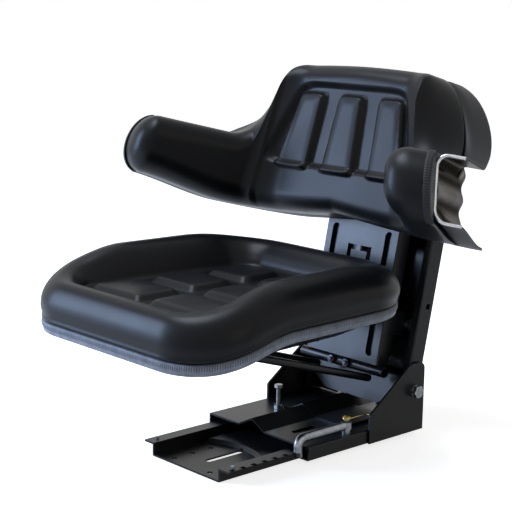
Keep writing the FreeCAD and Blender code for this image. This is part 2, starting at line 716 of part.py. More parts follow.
def round_bar(points, bend, radius, bore=0):
    path = bent_path(points, bend)
    direction = points[1] - points[0]

    def swept(size):
        section = Part.Wire([Part.makeCircle(size, points[0], direction)])
        return path.makePipeShell([section], True, False)

    bar = swept(radius)
    return bar.cut(swept(bore)) if bore else bar


# Slide lever: a bent tube on an upright pin, with a tooth for the notches of the base

def make_slide_lever():
    x = float(S.lever_x)
    height = float(S.lever_height)
    pin_y = float(S.lever_pin_y)
    front = -float(S.lever_front)
    tube_end = float(S.base_height + S.tooth_top_gap)
    start = FreeCAD.Vector(x, pin_y - float(S.lever_tube_start), height)
    points = [start, FreeCAD.Vector(x, front, height), FreeCAD.Vector(x, front, tube_end)]
    tube = round_bar(points, float(S.lever_bend), float(S.lever_radius), float(S.lever_bore))
    eye_low = height - float(S.lever_eye_height) / 2
    foot = FreeCAD.Vector(x, pin_y, eye_low)
    eye = Part.makeCylinder(float(S.lever_eye_radius), float(S.lever_eye_height), foot)
    bore = Part.makeCylinder(float(S.lever_pin_radius + S.lever_fit), float(S.lever_eye_height), foot)
    solid("slide_lever", tube.fuse(eye).cut(bore).removeSplitter())
    blade = box("ToothBlade", S.base_width / 2 + S.tooth_gap, S.lever_x + S.lever_radius,
                -S.lever_front - S.tooth_sheet / 2, -S.lever_front + S.tooth_sheet / 2,
                S.tooth_bottom, S.base_height + S.tooth_top_gap)
    keep("lever_tooth", blade)


def make_lever_pin():
    eye_low = S.lever_height - S.lever_eye_height / 2
    eye_high = S.lever_height + S.lever_eye_height / 2
    pin = cylinder("LeverPinRod", S.lever_pin_radius, S.lever_pin_top - S.deck_top,
                   S.lever_x, S.lever_pin_y, S.deck_top)
    collar = cylinder("LeverPinCollar", S.lever_collar_radius, eye_low - S.shoe_gap - S.deck_top,
                      S.lever_x, S.lever_pin_y, S.deck_top)
    keep("lever_pin", fuse("LeverPin", [pin, collar]))
    clip_low = eye_high + S.shoe_gap
    ring = cylinder("LeverClipRing", S.lever_collar_radius, S.return_wire, S.lever_x,
                    S.lever_pin_y, clip_low)
    bore = cylinder("LeverClipBore", S.lever_pin_radius, S.return_wire, S.lever_x,
                    S.lever_pin_y, clip_low)
    keep("lever_pin_clip", cut("LeverPinClip", ring, bore))


def make_return_spring():
    """Wire coil round the pin, with one leg to the bracket."""
    low = S.lever_height + S.lever_eye_height / 2 + S.shoe_gap + S.return_wire * 2
    wire = S.return_wire
    inner = S.lever_pin_radius + S.shoe_gap
    outer = inner + wire * 2
    tall = wire * S.return_turns
    blank = cylinder("ReturnCoilBlank", outer, tall, S.lever_x, S.lever_pin_y, low)
    bore = cylinder("ReturnCoilBore", inner, tall, S.lever_x, S.lever_pin_y, low)
    coil = cut("ReturnCoil", blank, bore)
    leg = box("ReturnLeg", S.lever_x + outer - wire, S.lever_x + outer - wire / 4, S.lever_pin_y,
              S.lever_pin_y + S.return_leg, low + wire, low + wire * 3)
    foot_end = S.lever_pin_y + S.return_leg
    foot = box("ReturnFoot", S.lever_x + outer - wire, carriage_half(), foot_end - wire * 2, foot_end,
               low + wire, low + wire * 3)
    keep("lever_return_spring", fuse("ReturnSpring", [coil, leg, foot]))


# Suspended frame: a pressed panel that rolls up and down in the tower

def make_back_frame_panel():
    body = new_body("back_frame_panel")
    half = S.panel_width / 2
    skin = half - S.panel_sheet
    front = -S.panel_front
    rear = front + S.panel_flange
    profile = sketch_on(body, "XY_Plane", "PanelProfile", S.panel_foot)
    add_loop(profile, [
        (-half, rear), (-half, front), (half, front), (half, rear), (skin, rear),
        (skin, front + S.panel_sheet), (-skin, front + S.panel_sheet), (-skin, rear)])
    folded = pad(body, profile, S.panel_top - S.panel_foot)
    round_edges(body, folded, "PanelBends", S.panel_sheet * S.bend_share,
                lambda edge: near_line(edge, 2, half, front) or near_line(edge, 2, -half, front))
    boss_half = S.groove_width / 2 + S.panel_sheet
    bosses = sketch_on(body, "XZ_Plane", "GrooveBosses", S.panel_front)
    for side in (-1, 1):
        add_loop(bosses, upright_slot(side * S.groove_spacing / 2, S.groove_low, S.groove_high, boss_half))
    pad(body, bosses, S.groove_depth + S.panel_sheet, reverse=True)
    grooves = sketch_on(body, "XZ_Plane", "Grooves", S.panel_front)
    for side in (-1, 1):
        add_loop(grooves, upright_slot(side * S.groove_spacing / 2, S.groove_low, S.groove_high,
                                       S.groove_width / 2))
    pocket(body, grooves, S.groove_depth)
    outer = S.lance_width / 2
    inner = outer - S.lance_slot
    low = S.lance_top - S.lance_height
    lance = sketch_on(body, "XZ_Plane", "Lance", S.panel_front)
    add_loop(lance, [
        (-outer, low), (-inner, low), (-inner, S.lance_top - S.lance_slot),
        (inner, S.lance_top - S.lance_slot), (inner, low), (outer, low), (outer, S.lance_top),
        (-outer, S.lance_top)])
    pocket(body, lance, S.panel_sheet * 2)
    axle_y = roller_line()
    ear_tip = axle_y + S.ear_height / 4
    for side_name, side in SIDES:
        offset = skin if side > 0 else -half
        ears = sketch_on(body, "YZ_Plane", side_name.title() + "Ears", offset)
        for height in (S.lower_axle_height, S.upper_axle_height):
            add_loop(ears, rectangle(rear - S.panel_sheet * 2, ear_tip,
                                     height - S.ear_height / 2, height + S.ear_height / 2))
        pad(body, ears, S.panel_sheet)
    bores = sketch_on(body, "YZ_Plane", "EarBores")
    for height in (S.lower_axle_height, S.upper_axle_height):
        add_circle(bores, axle_y, height, S.axle_radius)
    pocket(body, bores)
    body.Placement = TOWER


def roller_start():
    """Inner face of a roller, measured from the middle of the tower."""
    return S.tower_width / 2 - S.tower_sheet - S.roller_side_gap * 2 - S.roller_width


def make_axles():
    axle_end = S.tower_width / 2 - S.tower_sheet - S.roller_side_gap
    half = S.panel_width / 2
    y = roller_line()
    rod = cylinder("LowerAxleRod", S.axle_radius, axle_end * 2, -axle_end, y,
                   S.lower_axle_height, X_AXIS)
    collars = []
    stubs = []
    for side_name, side in SIDES:
        out = X_AXIS * side
        name = side_name.title()
        collar = roller_start() - S.roller_side_gap / 2 - half
        collars.append(cylinder(name + "LowerCollar", S.axle_collar_radius, collar, side * half, y,
                                S.lower_axle_height, out))
        inner = half - S.panel_sheet
        stub = cylinder(name + "StubRod", S.axle_radius, axle_end - inner, side * inner, y,
                        S.upper_axle_height, out)
        upper = cylinder(name + "UpperCollar", S.axle_collar_radius, collar, side * half, y,
                         S.upper_axle_height, out)
        button = cylinder(name + "StubHead", S.axle_collar_radius, S.stub_head, side * inner, y,
                          S.upper_axle_height, out * -1)
        stubs.append(fuse(name + "Stub", [stub, upper, button]))
    lower = fuse("LowerAxle", [rod] + collars)
    group("lower_axle", [lower], TOWER)
    group("upper_stub_axles", stubs, TOWER)


def make_rollers():
    for side_name, side in SIDES:
        for level, height in (("lower", S.lower_axle_height), ("upper", S.upper_axle_height)):
            name = "%s_%s_roller" % (side_name, level)
            start = side * roller_start()
            tyre = cylinder(name + "_rim", S.roller_radius, S.roller_width, start, roller_line(),
                            height, X_AXIS * side)
            bore = cylinder(name + "_bore", S.axle_radius + S.roller_fit, S.roller_width, start,
                            roller_line(), height, X_AXIS * side)
            roller = cut(name + "_cut", tyre, bore)
            roller.Placement = TOWER
            keep(name, roller)


def cross_tube_height():
    return S.panel_foot - S.cross_tube_radius


def make_cross_tube():
    end = S.cross_tube_width / 2
    y = -S.cross_tube_y
    z = cross_tube_height()
    tube = cylinder("CrossTubeRod", S.cross_tube_radius, end * 2, -end, y, z, X_AXIS)
    bore = cylinder("CrossTubeBore", S.cross_tube_bore, end * 2, -end, y, z, X_AXIS)
    group("lower_cross_tube", [cut("CrossTube", tube, bore)], TOWER)
    nuts = []
    for side_name, side in SIDES:
        nuts.append(hexagon(side_name.title() + "CrossNut", S.cross_nut_flats, S.cross_nut_height,
                            side * S.cross_nut_spacing / 2, y - S.cross_tube_radius, z, Y_AXIS * -1))
    group("cross_tube_nuts", nuts, TOWER)


# Seat support: two diagonal struts and two arms under the pan

def strut_front():
    """Bend of a strut's axis, under the pan, as (y, z)."""
    return -float(S.strut_front_y), float(S.pan_bottom - S.strut_radius)


def strut_rear():
    """Rear end of a strut's axis, which runs close under the cross tube, as (y, z)."""
    tube_y, tube_z = (float(place) for place in tower_point(-S.cross_tube_y, cross_tube_height()))
    front_y, front_z = strut_front()
    clearance = float(S.cross_tube_radius + S.strut_radius + S.strut_gap)
    span = math.hypot(tube_y - front_y, tube_z - front_z)
    fall = math.atan2(tube_z - front_z, tube_y - front_y) - math.asin(clearance / span)
    reach = math.sqrt(span ** 2 - clearance ** 2) + float(S.strut_overrun)
    return front_y + reach * math.cos(fall), front_z + reach * math.sin(fall)


def make_struts():
    front_y, front_z = strut_front()
    for side_name, side in SIDES:
        x = float(side * S.strut_x)
        points = [FreeCAD.Vector(x, *strut_rear()), FreeCAD.Vector(x, front_y, front_z),
                  FreeCAD.Vector(x, -float(S.strut_end_y), front_z)]
        bar = round_bar(points, float(S.strut_bend), float(S.strut_radius), float(S.strut_bore))
        solid(side_name + "_strut", bar)


def panel_face(z):
    """How far back the front face of the panel lies at a height."""
    slope = tangent(S.tower_lean)
    c = cosine(S.tower_lean)
    return S.pivot_y - S.panel_front / c + (z - S.pivot_z) * slope


def make_support_arms():
    high = S.pan_bottom
    low = high - S.arm_depth
    for side_name, side in SIDES:
        body = new_body(side_name + "_support_arm")
        outline = sketch_on(body, "YZ_Plane", side_name.title() + "ArmOutline", side * S.arm_x)
        add_loop(outline, [(-S.arm_front_y, high), (-S.arm_front_y, high - S.arm_nose),
                           (-S.arm_front_y + S.arm_nose_length, low), (panel_face(low), low),
                           (panel_face(high), high)])
        pad(body, outline, S.arm_width, symmetric=True)


# Seat pan, its edge trim and the cushion

def rounded_outline(points, radii, z):
    """Closed wire through straight runs, with each corner rounded."""
    corners = []
    count = len(points)
    for index, (point, radius) in enumerate(zip(points, radii)):
        here = FreeCAD.Vector(point[0], point[1], z)
        before = FreeCAD.Vector(*points[index - 1], z)
        after = FreeCAD.Vector(*points[(index + 1) % count], z)
        toward = (before - here).normalize()
        away = (after - here).normalize()
        half_turn = (math.pi - toward.getAngle(away)) / 2
        reach = radius * math.tan(half_turn)
        middle = here + (toward + away).normalize() * (radius / math.cos(half_turn) - radius)
        corners.append((here + toward * reach, middle, here + away * reach))
    edges = []
    for index, (first, middle, last) in enumerate(corners):
        edges.append(Part.Arc(first, middle, last).toShape())
        following = corners[(index + 1) % count][0]
        edges.append(Part.LineSegment(last, following).toShape())
    return Part.Wire(edges)


def seat_outline(inset, z):
    front = float(S.seat_front_width) / 2 - inset
    rear = float(S.seat_rear_width) / 2 - inset
    y_front = -float(S.seat_front_y) + inset
    y_rear = float(S.seat_rear_y) - inset
    points = [(-front, y_front), (front, y_front), (rear, y_rear), (-rear, y_rear)]
    front_corner = float(S.seat_front_corner) - inset
    rear_corner = float(S.seat_rear_corner) - inset
    return rounded_outline(points, [front_corner, front_corner, rear_corner, rear_corner], z)


def eased(share):
    share = min(max(share, 0), 1)
    return share * share * (3 - 2 * share)


def rim_height(y):
    """Lower edge of the edge trim, which droops at the front of the seat."""
    share = (y + float(S.seat_front_y)) / float(S.droop_length)
    return float(S.rim_front) + (float(S.rim_side) - float(S.rim_front)) * eased(share)


def crest_height(y):
    """Top of the bolster: low at the front, high along the sides, a little lower at the rear."""
    rise = eased((y + float(S.seat_front_y)) / float(S.droop_length))
    fall = eased((y - float(S.crest_fall_y)) / (float(S.seat_rear_y) - float(S.crest_fall_y)))
    height = float(S.crest_front) + (float(S.crest_side) - float(S.crest_front)) * rise
    return height - (float(S.crest_side) - float(S.crest_rear)) * fall


def under_rim(lift):
    """Everything below a surface that stands a given height above the rim's lower edge."""
    reach = float(S.seat_front_width)
    y_start = -float(S.seat_front_y) - float(S.rim_overrun)
    y_end = float(S.seat_rear_y) + float(S.rim_overrun)
    steps = int(float(S.rim_steps))
    points = []
    for step in range(steps + 1):
        y = y_start + (y_end - y_start) * step / steps
        points.append(FreeCAD.Vector(-reach, y, rim_height(y) + lift))
    curve = Part.BSplineCurve()
    curve.interpolate(points)
    low = float(S.pan_bottom) - float(S.rim_overrun)
    first = FreeCAD.Vector(-reach, y_start, low)
    last = FreeCAD.Vector(-reach, y_end, low)
    wire = Part.Wire([curve.toShape(), Part.LineSegment(points[-1], last).toShape(),
                      Part.LineSegment(last, first).toShape(),
                      Part.LineSegment(first, points[0]).toShape()])
    return Part.Face(wire).extrude(FreeCAD.Vector(2 * reach, 0, 0))


def ring(outline, height):
    """Closed smooth curve over an outline, at a height that depends on y."""
    points = []
    for point in outline.discretize(Number=int(float(S.ring_points)) + 1)[:-1]:
        points.append(FreeCAD.Vector(point.x, point.y, height(point.y)))
    curve = Part.BSplineCurve()
    curve.interpolate(Points=points, PeriodicFlag=True)
    return Part.Wire([curve.toShape()])


def seat_slab(inset, low, high):
    edge = ring(seat_outline(inset, 0), lambda y: low)
    return Part.Face(edge).extrude(FreeCAD.Vector(0, 0, high - low))


def dish(extra):
    """Solid outline of the pan, drawn in all round by an extra amount."""
    low = float(S.pan_bottom) + extra
    high = float(S.rim_side) + float(S.pan_rim) * 2
    slope = float(S.pan_slope) + extra
    edge = float(S.pan_inset) + extra
    rings = [ring(seat_outline(slope, 0), lambda y: low),
             ring(seat_outline(edge, 0), lambda y: rim_height(y) + extra),
             ring(seat_outline(edge, 0), lambda y: high)]
    return Part.makeLoft(rings, True, True)


def make_seat_pan():
    tray = dish(0).cut(dish(float(S.pan_sheet)))
    solid("seat_pan", tray.common(under_rim(float(S.pan_rim))))


def make_seat_edge_trim():
    low = float(S.rim_front) - float(S.pan_rim)
    high = float(S.rim_side) + float(S.pan_rim) * 2
    grip = float(S.pan_inset) - float(S.foam_gap)
    band = seat_slab(-float(S.trim_out), low, high).cut(seat_slab(grip, low, high))
    band = band.common(under_rim(float(S.pan_rim))).cut(under_rim(0))
    solid("seat_edge_trim", band)


def recess_outline(inset):
    front = float(S.recess_front_width) / 2 - inset
    rear = float(S.recess_rear_width) / 2 - inset
    y_front = -float(S.recess_front_y) + inset
    y_rear = float(S.recess_rear_y) - inset
    points = [(-front, y_front), (front, y_front), (rear, y_rear), (-rear, y_rear)]
    return rounded_outline(points, [float(S.recess_corner)] * 4, 0)


def bolster_outline(share):
    """Outline part of the way from the seat's edge to the edge of the recess."""
    mixed = []
    pairs = ((S.seat_front_width / 2, S.recess_front_width / 2),
             (S.seat_rear_width / 2, S.recess_rear_width / 2),
             (-S.seat_front_y, -S.recess_front_y), (S.seat_rear_y, S.recess_rear_y),
             (S.seat_front_corner, S.recess_corner), (S.seat_rear_corner, S.recess_corner))
    for outer, inner in pairs:
        mixed.append(float(outer) + (float(inner) - float(outer)) * share)
    front, rear, y_front, y_rear, front_corner, rear_corner = mixed
    points = [(-front, y_front), (front, y_front), (rear, y_rear), (-rear, y_rear)]
    return rounded_outline(points, [front_corner, front_corner, rear_corner, rear_corner], 0)


def seat_pads(floor):
    """Two columns and three rows of raised pads inside the recess."""
    columns = 2
    rows = 3
    gap = float(S.seat_pad_gap)
    margin = float(S.recess_draft) + gap / 2
    y_front = -float(S.recess_front_y) + margin
    y_rear = float(S.recess_rear_y) - margin
    pitch = (y_rear - y_front + gap) / rows
    top = floor + float(S.seat_pad_rise)
    sink = float(S.seat_pad_sink)

    def half_width(y):
        share = (y - y_front) / (y_rear - y_front)
        front = float(S.recess_front_width) / 2
        rear = float(S.recess_rear_width) / 2
        return front + (rear - front) * share - margin

    pads = []
    for row in range(rows):
        near = y_front + row * pitch
        far = near + pitch - gap
        for column in range(columns):
            side = 1 if column else -1

            def outline(inset, z):
                inner = gap / 2 + inset
                corners = [(side * inner, near + inset), (side * (half_width(near) - inset), near + inset),
                           (side * (half_width(far) - inset), far - inset), (side * inner, far - inset)]
                if side < 0:
                    corners.reverse()
                return rounded_outline(corners, [float(S.seat_pad_corner) - inset] * 4, z)

            draft = float(S.seat_pad_draft)
            pads.append(Part.makeLoft([outline(0, floor - sink), outline(draft / 3, (floor + top) / 2),
                                       outline(draft, top)], True, True))
    return pads


# Where the bolster's outline lies between the seat's edge (0) and the hollow's (1), and how high
# it stands there, first above the rim and then, on the inner slope, above the hollow's floor
BOLSTER_RISE = ((0.02, 0.5), (0.12, 0.74), (0.26, 0.91), (0.45, 1.0))
BOLSTER_FALL = ((0.65, 0.94), (0.82, 0.72), (0.95, 0.35), (1.0, 0.12))
BULGE_RISE = 0.25


def make_seat_cushion():
    """Foam that sits in the pan and bulges over the trim, with a raised bolster all round."""
    slack = float(S.pan_sheet) + float(S.foam_gap)
    rim = float(S.pan_rim) + float(S.foam_gap)
    floor = float(S.recess_floor)
    bulge = float(S.cushion_bulge)
    low = float(S.pan_bottom) + slack
    rings = [ring(seat_outline(float(S.pan_slope) + slack, 0), lambda y: low),
             ring(seat_outline(float(S.pan_inset) + slack, 0), lambda y: rim_height(y) + slack),
             ring(seat_outline(float(S.pan_inset) + slack, 0), lambda y: rim_height(y) + rim),
             ring(seat_outline(0, 0), lambda y: rim_height(y) + rim)]

    def over_rim(share):
        return lambda y: rim_height(y) + rim + (crest_height(y) - rim_height(y) - rim) * share

    def over_floor(share):
        return lambda y: floor + (crest_height(y) - floor) * share

    rings.append(ring(seat_outline(-bulge, 0), over_rim(BULGE_RISE)))
    for across, share in BOLSTER_RISE:
        rings.append(ring(bolster_outline(across), over_rim(share)))
    for across, share in BOLSTER_FALL:
        rings.append(ring(bolster_outline(across), over_floor(share)))
    rings.append(ring(recess_outline(float(S.recess_draft)), lambda y: floor))
    cushion = Part.makeLoft(rings, True, True)
    cushion = cushion.fuse(seat_pads(floor))
    solid("seat_cushion", cushion)


def make_pan_bolts():
    """Bolts that hold the pan to the two arms and the two struts."""
    items = []
    for side_name, side in SIDES:
        name = side_name.title()
        spots = (("Rear", S.arm_x, S.pan_bolt_y, S.arm_depth),
                 ("Front", S.strut_x, -(S.strut_front_y + S.strut_end_y) / 2, S.strut_radius * 2))
        for label, x, y, depth in spots:
            items.append(hexagon(name + label + "PanHead", S.pan_bolt_flats, S.pan_bolt_head,
                                 side * x, y, S.pan_bottom - depth, Z_AXIS * -1))
    group("pan_bolts", items)


# Backrest: everything follows one wall that wraps round the occupant and runs on as two arms

MIDDLE = float(S.rib_level)


def wall_point(distance):
    """Point of the wall, and the direction to the occupant, at a distance from the middle."""
    side = 1 if distance >= 0 else -1
    along = abs(distance)
    flat = float(S.back_flat)
    radius = float(S.back_round)
    turn = math.radians(float(S.back_turn))
    y = float(S.back_wall)
    if along <= flat:
        return side * along, y, 0.0, -1.0
    bend = min((along - flat) / radius, turn)
    x = flat + radius * math.sin(bend)
    y = y - radius * (1 - math.cos(bend))
    beyond = along - flat - radius * turn
    if beyond > 0:
        x += beyond * math.cos(turn)
        y -= beyond * math.sin(turn)
    return side * x, y, -side * math.sin(bend), -math.cos(bend)


def wrapped(distance, depth, height):
    """Point at a distance along the wall; the whole backrest narrows a little upward."""
    x, y, toward_x, toward_y = wall_point(distance)
    rise = (height - float(S.arm_crest)) / float(S.back_crest - S.arm_crest)
    narrowing = 1 - float(S.back_flare_share) * rise
    return FreeCAD.Vector(x * narrowing + toward_x * depth, y + toward_y * depth, height)


def arm_end():
    return float(S.back_flat) + float(S.back_round) * math.radians(float(S.back_turn)) + float(S.arm_length)


def top_edge(distance):
    """Height of the upper edge: level over the back, a smooth shoulder, then the arm."""
    along = abs(distance)
    start = float(S.shoulder_start)
    fall = eased((along - start) / (float(S.shoulder_end) - start))
    crown = float(S.back_crown) * min(along / start, 1) ** 2
    crest = float(S.back_crest) - crown
    return crest + (float(S.arm_crest) - crest) * fall


def foot_edge(distance):
    """Height of the lower edge, which sags where the back runs into the arms."""
    middle = float(S.sag_middle)
    along = abs(distance)
    share = max(1 - ((along - middle) / middle) ** 2, 0)
    rise = float(S.foot_rise) * eased((along - middle) / float(S.arm_length))
    return float(S.back_foot) - float(S.foot_sag) * share + rise


def back_stations():
    """Distances from the middle at which the backrest's sections are taken."""
    steps = int(float(S.back_steps))
    return [arm_end() * step / steps for step in range(-steps, steps + 1)]


def thickness(distance):
    """The padding swells at the shoulders and thins again along the arms."""
    along = abs(distance)
    middle = float(S.back_thickness)
    shoulder = float(S.shoulder_thickness)
    swell = eased((along - float(S.back_recess_top_width) / 2) / float(S.swell_length))
    settle = eased((along - float(S.sag_middle)) / float(S.arm_length))
    return middle + (shoulder - middle) * swell + (float(S.arm_thickness) - shoulder) * settle


def polygon_section(distance, corners):
    points = [wrapped(distance, depth, height) for depth, height in corners]
    return Part.makePolygon(points + [points[0]])


def softened(corners, radii):
    """Corners given as (depth, height), each turned into a short fan of points on its arc."""
    steps = int(float(S.corner_steps))
    count = len(corners)
    fan = []
    for index, (corner, radius) in enumerate(zip(corners, radii)):
        here = FreeCAD.Vector(corner[0], corner[1], 0)
        toward = (FreeCAD.Vector(*corners[index - 1], 0) - here).normalize()
        away = (FreeCAD.Vector(*corners[(index + 1) % count], 0) - here).normalize()
        centre = here + (toward + away) * radius
        for step in range(steps + 1):
            turn = math.pi / 2 * step / steps
            point = centre - away * (radius * math.cos(turn)) - toward * (radius * math.sin(turn))
            fan.append((point.x, point.y))
    return fan


def cushion_section(distance, share=1.0):
    """Section of the upholstery, drawn in toward its own middle at an arm's tip."""
    top = top_edge(distance)
    foot = foot_edge(distance)
    middle = (top + foot) / 2
    half = (top - foot) / 2 * share
    thick = thickness(distance) * (1 + share) / 2
    along = min(abs(distance) / arm_end(), 1)
    front = float(S.back_edge) + (float(S.arm_edge) - float(S.back_edge)) * along
    front = min(front, half * 0.9, thick * 0.6)
    back = min(float(S.back_seam), half * 0.3)
    gap = float(S.foam_gap)
    corners = [(gap, middle - half), (thick, middle - half), (thick, middle + half), (gap, middle + half)]
    return polygon_section(distance, softened(corners, [back, front, front, back]))


def back_prism(outline, corner, deep, high, draft):
    """Loft between two rounded outlines parallel to the flat of the back."""

    def wire(inset, depth):
        y = float(S.back_wall) - depth
        points = []
        centre_x = sum(p[0] for p in outline) / len(outline)
        centre_z = sum(p[1] for p in outline) / len(outline)
        for x, z in outline:
            points.append((x - math.copysign(inset, x - centre_x), z - math.copysign(inset, z - centre_z)))
        flat = rounded_outline(points, [corner - inset if corner > inset else corner] * 4, 0)
        turned = flat.copy()
        turned.rotate(FreeCAD.Vector(0, 0, 0), X_AXIS, 90)
        turned.translate(FreeCAD.Vector(0, y, 0))
        return turned

    return Part.makeLoft([wire(0, deep), wire(draft, high)], True, True)


# How far out along an arm's rounded tip its sections are taken
TIP_SHARES = (0.35, 0.62, 0.82, 0.94)


def make_backrest_cushion():
    tip = arm_end()
    reach = float(S.arm_tip)
    tips = []
    for share in TIP_SHARES:
        tips.append((tip + reach * share, math.sqrt(1 - share * share)))
    sections = [cushion_section(-d, share) for d, share in reversed(tips)]
    sections += [cushion_section(d) for d in back_stations()]
    sections += [cushion_section(d, share) for d, share in tips]
    cushion = Part.makeLoft(sections, True, True)
    front = float(S.back_thickness)
    floor = front - float(S.back_recess_depth)
    top = float(S.back_recess_top)
    foot = float(S.back_recess_foot)
    half_top = float(S.back_recess_top_width) / 2
    half_foot = float(S.back_recess_foot_width) / 2
    outline = [(-half_foot, foot), (half_foot, foot), (half_top, top), (-half_top, top)]
    recess = back_prism(outline, float(S.back_recess_corner), floor, front * 2, -float(S.back_recess_draft))
    cushion = cushion.cut(recess)
    pads = []
    for column in (-1, 0, 1):
        top_x = column * float(S.back_pad_top_pitch)
        foot_x = column * float(S.back_pad_foot_pitch)
        wide_top = float(S.back_pad_top_width) / 2
        wide_foot = float(S.back_pad_foot_width) / 2
        outline = [(foot_x - wide_foot, float(S.back_pad_foot)), (foot_x + wide_foot, float(S.back_pad_foot)),
                   (top_x + wide_top, float(S.back_pad_top)), (top_x - wide_top, float(S.back_pad_top))]
        pads.append(back_prism(outline, float(S.back_pad_corner), floor - float(S.back_pad_sink),
                               floor + float(S.back_pad_rise), float(S.back_pad_draft)))
    cushion = cushion.fuse(pads)
    solid("backrest_cushion", cushion, BACK)


def flange_depth(distance):
    """The flanges are narrow behind the back, where the panel passes, and wider on the arms."""
    length = float(S.flange_change)
    wide = eased((abs(distance) - float(S.shoulder_start) + length) / length)
    return float(S.shell_flange) + float(S.arm_flange - S.shell_flange) * wide


def quarter(centre_height, radius, outward):
    """Points round a corner of the shell, from its wall (outward) or from its flange."""
    steps = int(float(S.shell_round_steps))
    points = []
    for step in range(steps + 1):
        turn = math.pi / 2 * step / steps
        if not outward:
            turn = math.pi / 2 - turn
        points.append((-float(S.shell_round) + radius * math.cos(turn),
                       centre_height + math.copysign(radius * math.sin(turn), centre_height - MIDDLE)))
    return points


def shell_wall(offset):
    """Wall with three pressed ribs along it, as (depth, height) from its lower end."""
    rib = float(S.shell_rib)
    land = float(S.shell_rib_land) / 2
    slope = float(S.shell_rib_slope)
    points = []
    for index in (-1, 0, 1):
        level = MIDDLE + index * float(S.shell_rib_pitch)
        points += [(offset, level - land - slope), (offset - rib, level - land),
                   (offset - rib, level + land), (offset, level + land + slope)]
    return points


def shell_corners(distance):
    """Open channel section: ribbed wall, round corners and flanges turned to the rear."""
    t = float(S.shell_sheet)
    deep = -flange_depth(distance)
    top = top_edge(distance) - float(S.edge_trim)
    foot = foot_edge(distance) + float(S.edge_trim)
    bend = float(S.shell_round)
    low, high = foot + bend, top - bend
    front = quarter(low, bend, False) + shell_wall(0) + quarter(high, bend, True)
    back = quarter(low, bend - t, False) + shell_wall(-t) + quarter(high, bend - t, True)
    return [(deep, foot)] + front + [(deep, top), (deep, top - t)] + back[::-1] + [(deep, foot + t)]


def make_backrest_shell():
    sections = [polygon_section(d, shell_corners(d)) for d in back_stations()]
    solid("backrest_shell", Part.makeLoft(sections, True, True), BACK)


def edge_trim_corners(distance, side):
    """Strip over a flange and the corner beside it; side is 1 for the upper one and -1 below."""
    deep = -flange_depth(distance)
    gap = float(S.shoe_gap)
    edge = top_edge(distance) if side > 0 else foot_edge(distance)
    bend = float(S.shell_round) + float(S.edge_trim)
    centre = edge - side * bend
    outer = quarter(centre, bend, True)[1:]
    inner = quarter(centre, float(S.shell_round) + gap, True)[1:]
    corners = outer + [(deep, edge), (deep, edge - side * (float(S.edge_trim) - gap))] + inner[::-1]
    return corners if side > 0 else corners[::-1]


def make_edge_trims():
    upper, lower = [], []
    for d in back_stations():
        upper.append(polygon_section(d, edge_trim_corners(d, 1)))
        lower.append(polygon_section(d, edge_trim_corners(d, -1)))
    solid("upper_edge_trim", Part.makeLoft(upper, True, True), BACK)
    solid("lower_edge_trim", Part.makeLoft(lower, True, True), BACK)


def make_arm_end_trims():
    """Short bands that close the outer face of each arm in front of the shell."""
    tip = arm_end()
    length = float(S.end_trim)
    t = float(S.edge_trim)
    ends = []
    for side_name, side in SIDES:
        sections = []
        for share in (0.0, 0.5, 1.0):
            distance = tip + length * share
            round_off = math.sqrt(1 - (length * share / float(S.arm_tip)) ** 2)
            half = (float(S.arm_crest) - foot_edge(tip)) / 2 * round_off * float(S.end_trim_share)
            middle = (float(S.arm_crest) + foot_edge(tip)) / 2
            sections.append(polygon_section(side * distance, [(-t, middle - half), (0, middle - half),
                                                              (0, middle + half), (-t, middle + half)]))
        ends.append(Part.makeLoft(sections, True, True))
    solid("arm_end_trims", Part.makeCompound(ends), BACK)


# Backrest mounts between the panel and the shell

def shell_back(z):
    """How far back the rear of the shell's ribs lies at a height."""
    deep = S.back_wall + S.shell_rib + S.shell_sheet
    return deep / cosine(S.back_lean) + z * tangent(S.back_lean)


def make_backrest_mounts():
    low = S.back_mount_low
    high = S.back_mount_high
    for side_name, side in SIDES:
        body = new_body(side_name + "_backrest_mount")
        outline = sketch_on(body, "YZ_Plane", side_name.title() + "MountOutline", side * S.back_mount_x)
        add_loop(outline, [(shell_back(low), low), (panel_face(low), low),
                           (panel_face(high), high), (shell_back(high), high)])
        pad(body, outline, S.back_mount_width, symmetric=True)


def make_backrest_bolts():
    """Bolts behind the panel that hold the backrest mounts."""
    c = cosine(S.tower_lean)
    items = []
    for side_name, side in SIDES:
        for label, level in (("Low", S.back_mount_low), ("High", S.back_mount_high)):
            inset = S.back_bolt_flats if label == "Low" else -S.back_bolt_flats
            height = (level + inset - S.pivot_z) / c - S.panel_front * tangent(S.tower_lean)
            items.append(hexagon(side_name.title() + label + "BackHead", S.back_bolt_flats,
                                 S.back_bolt_head, side * S.back_mount_x, -S.panel_front + S.panel_sheet,
                                 height, Y_AXIS))
    group("backrest_bolts", items, TOWER)


# Tension springs between the bar in the tower and the lower axle

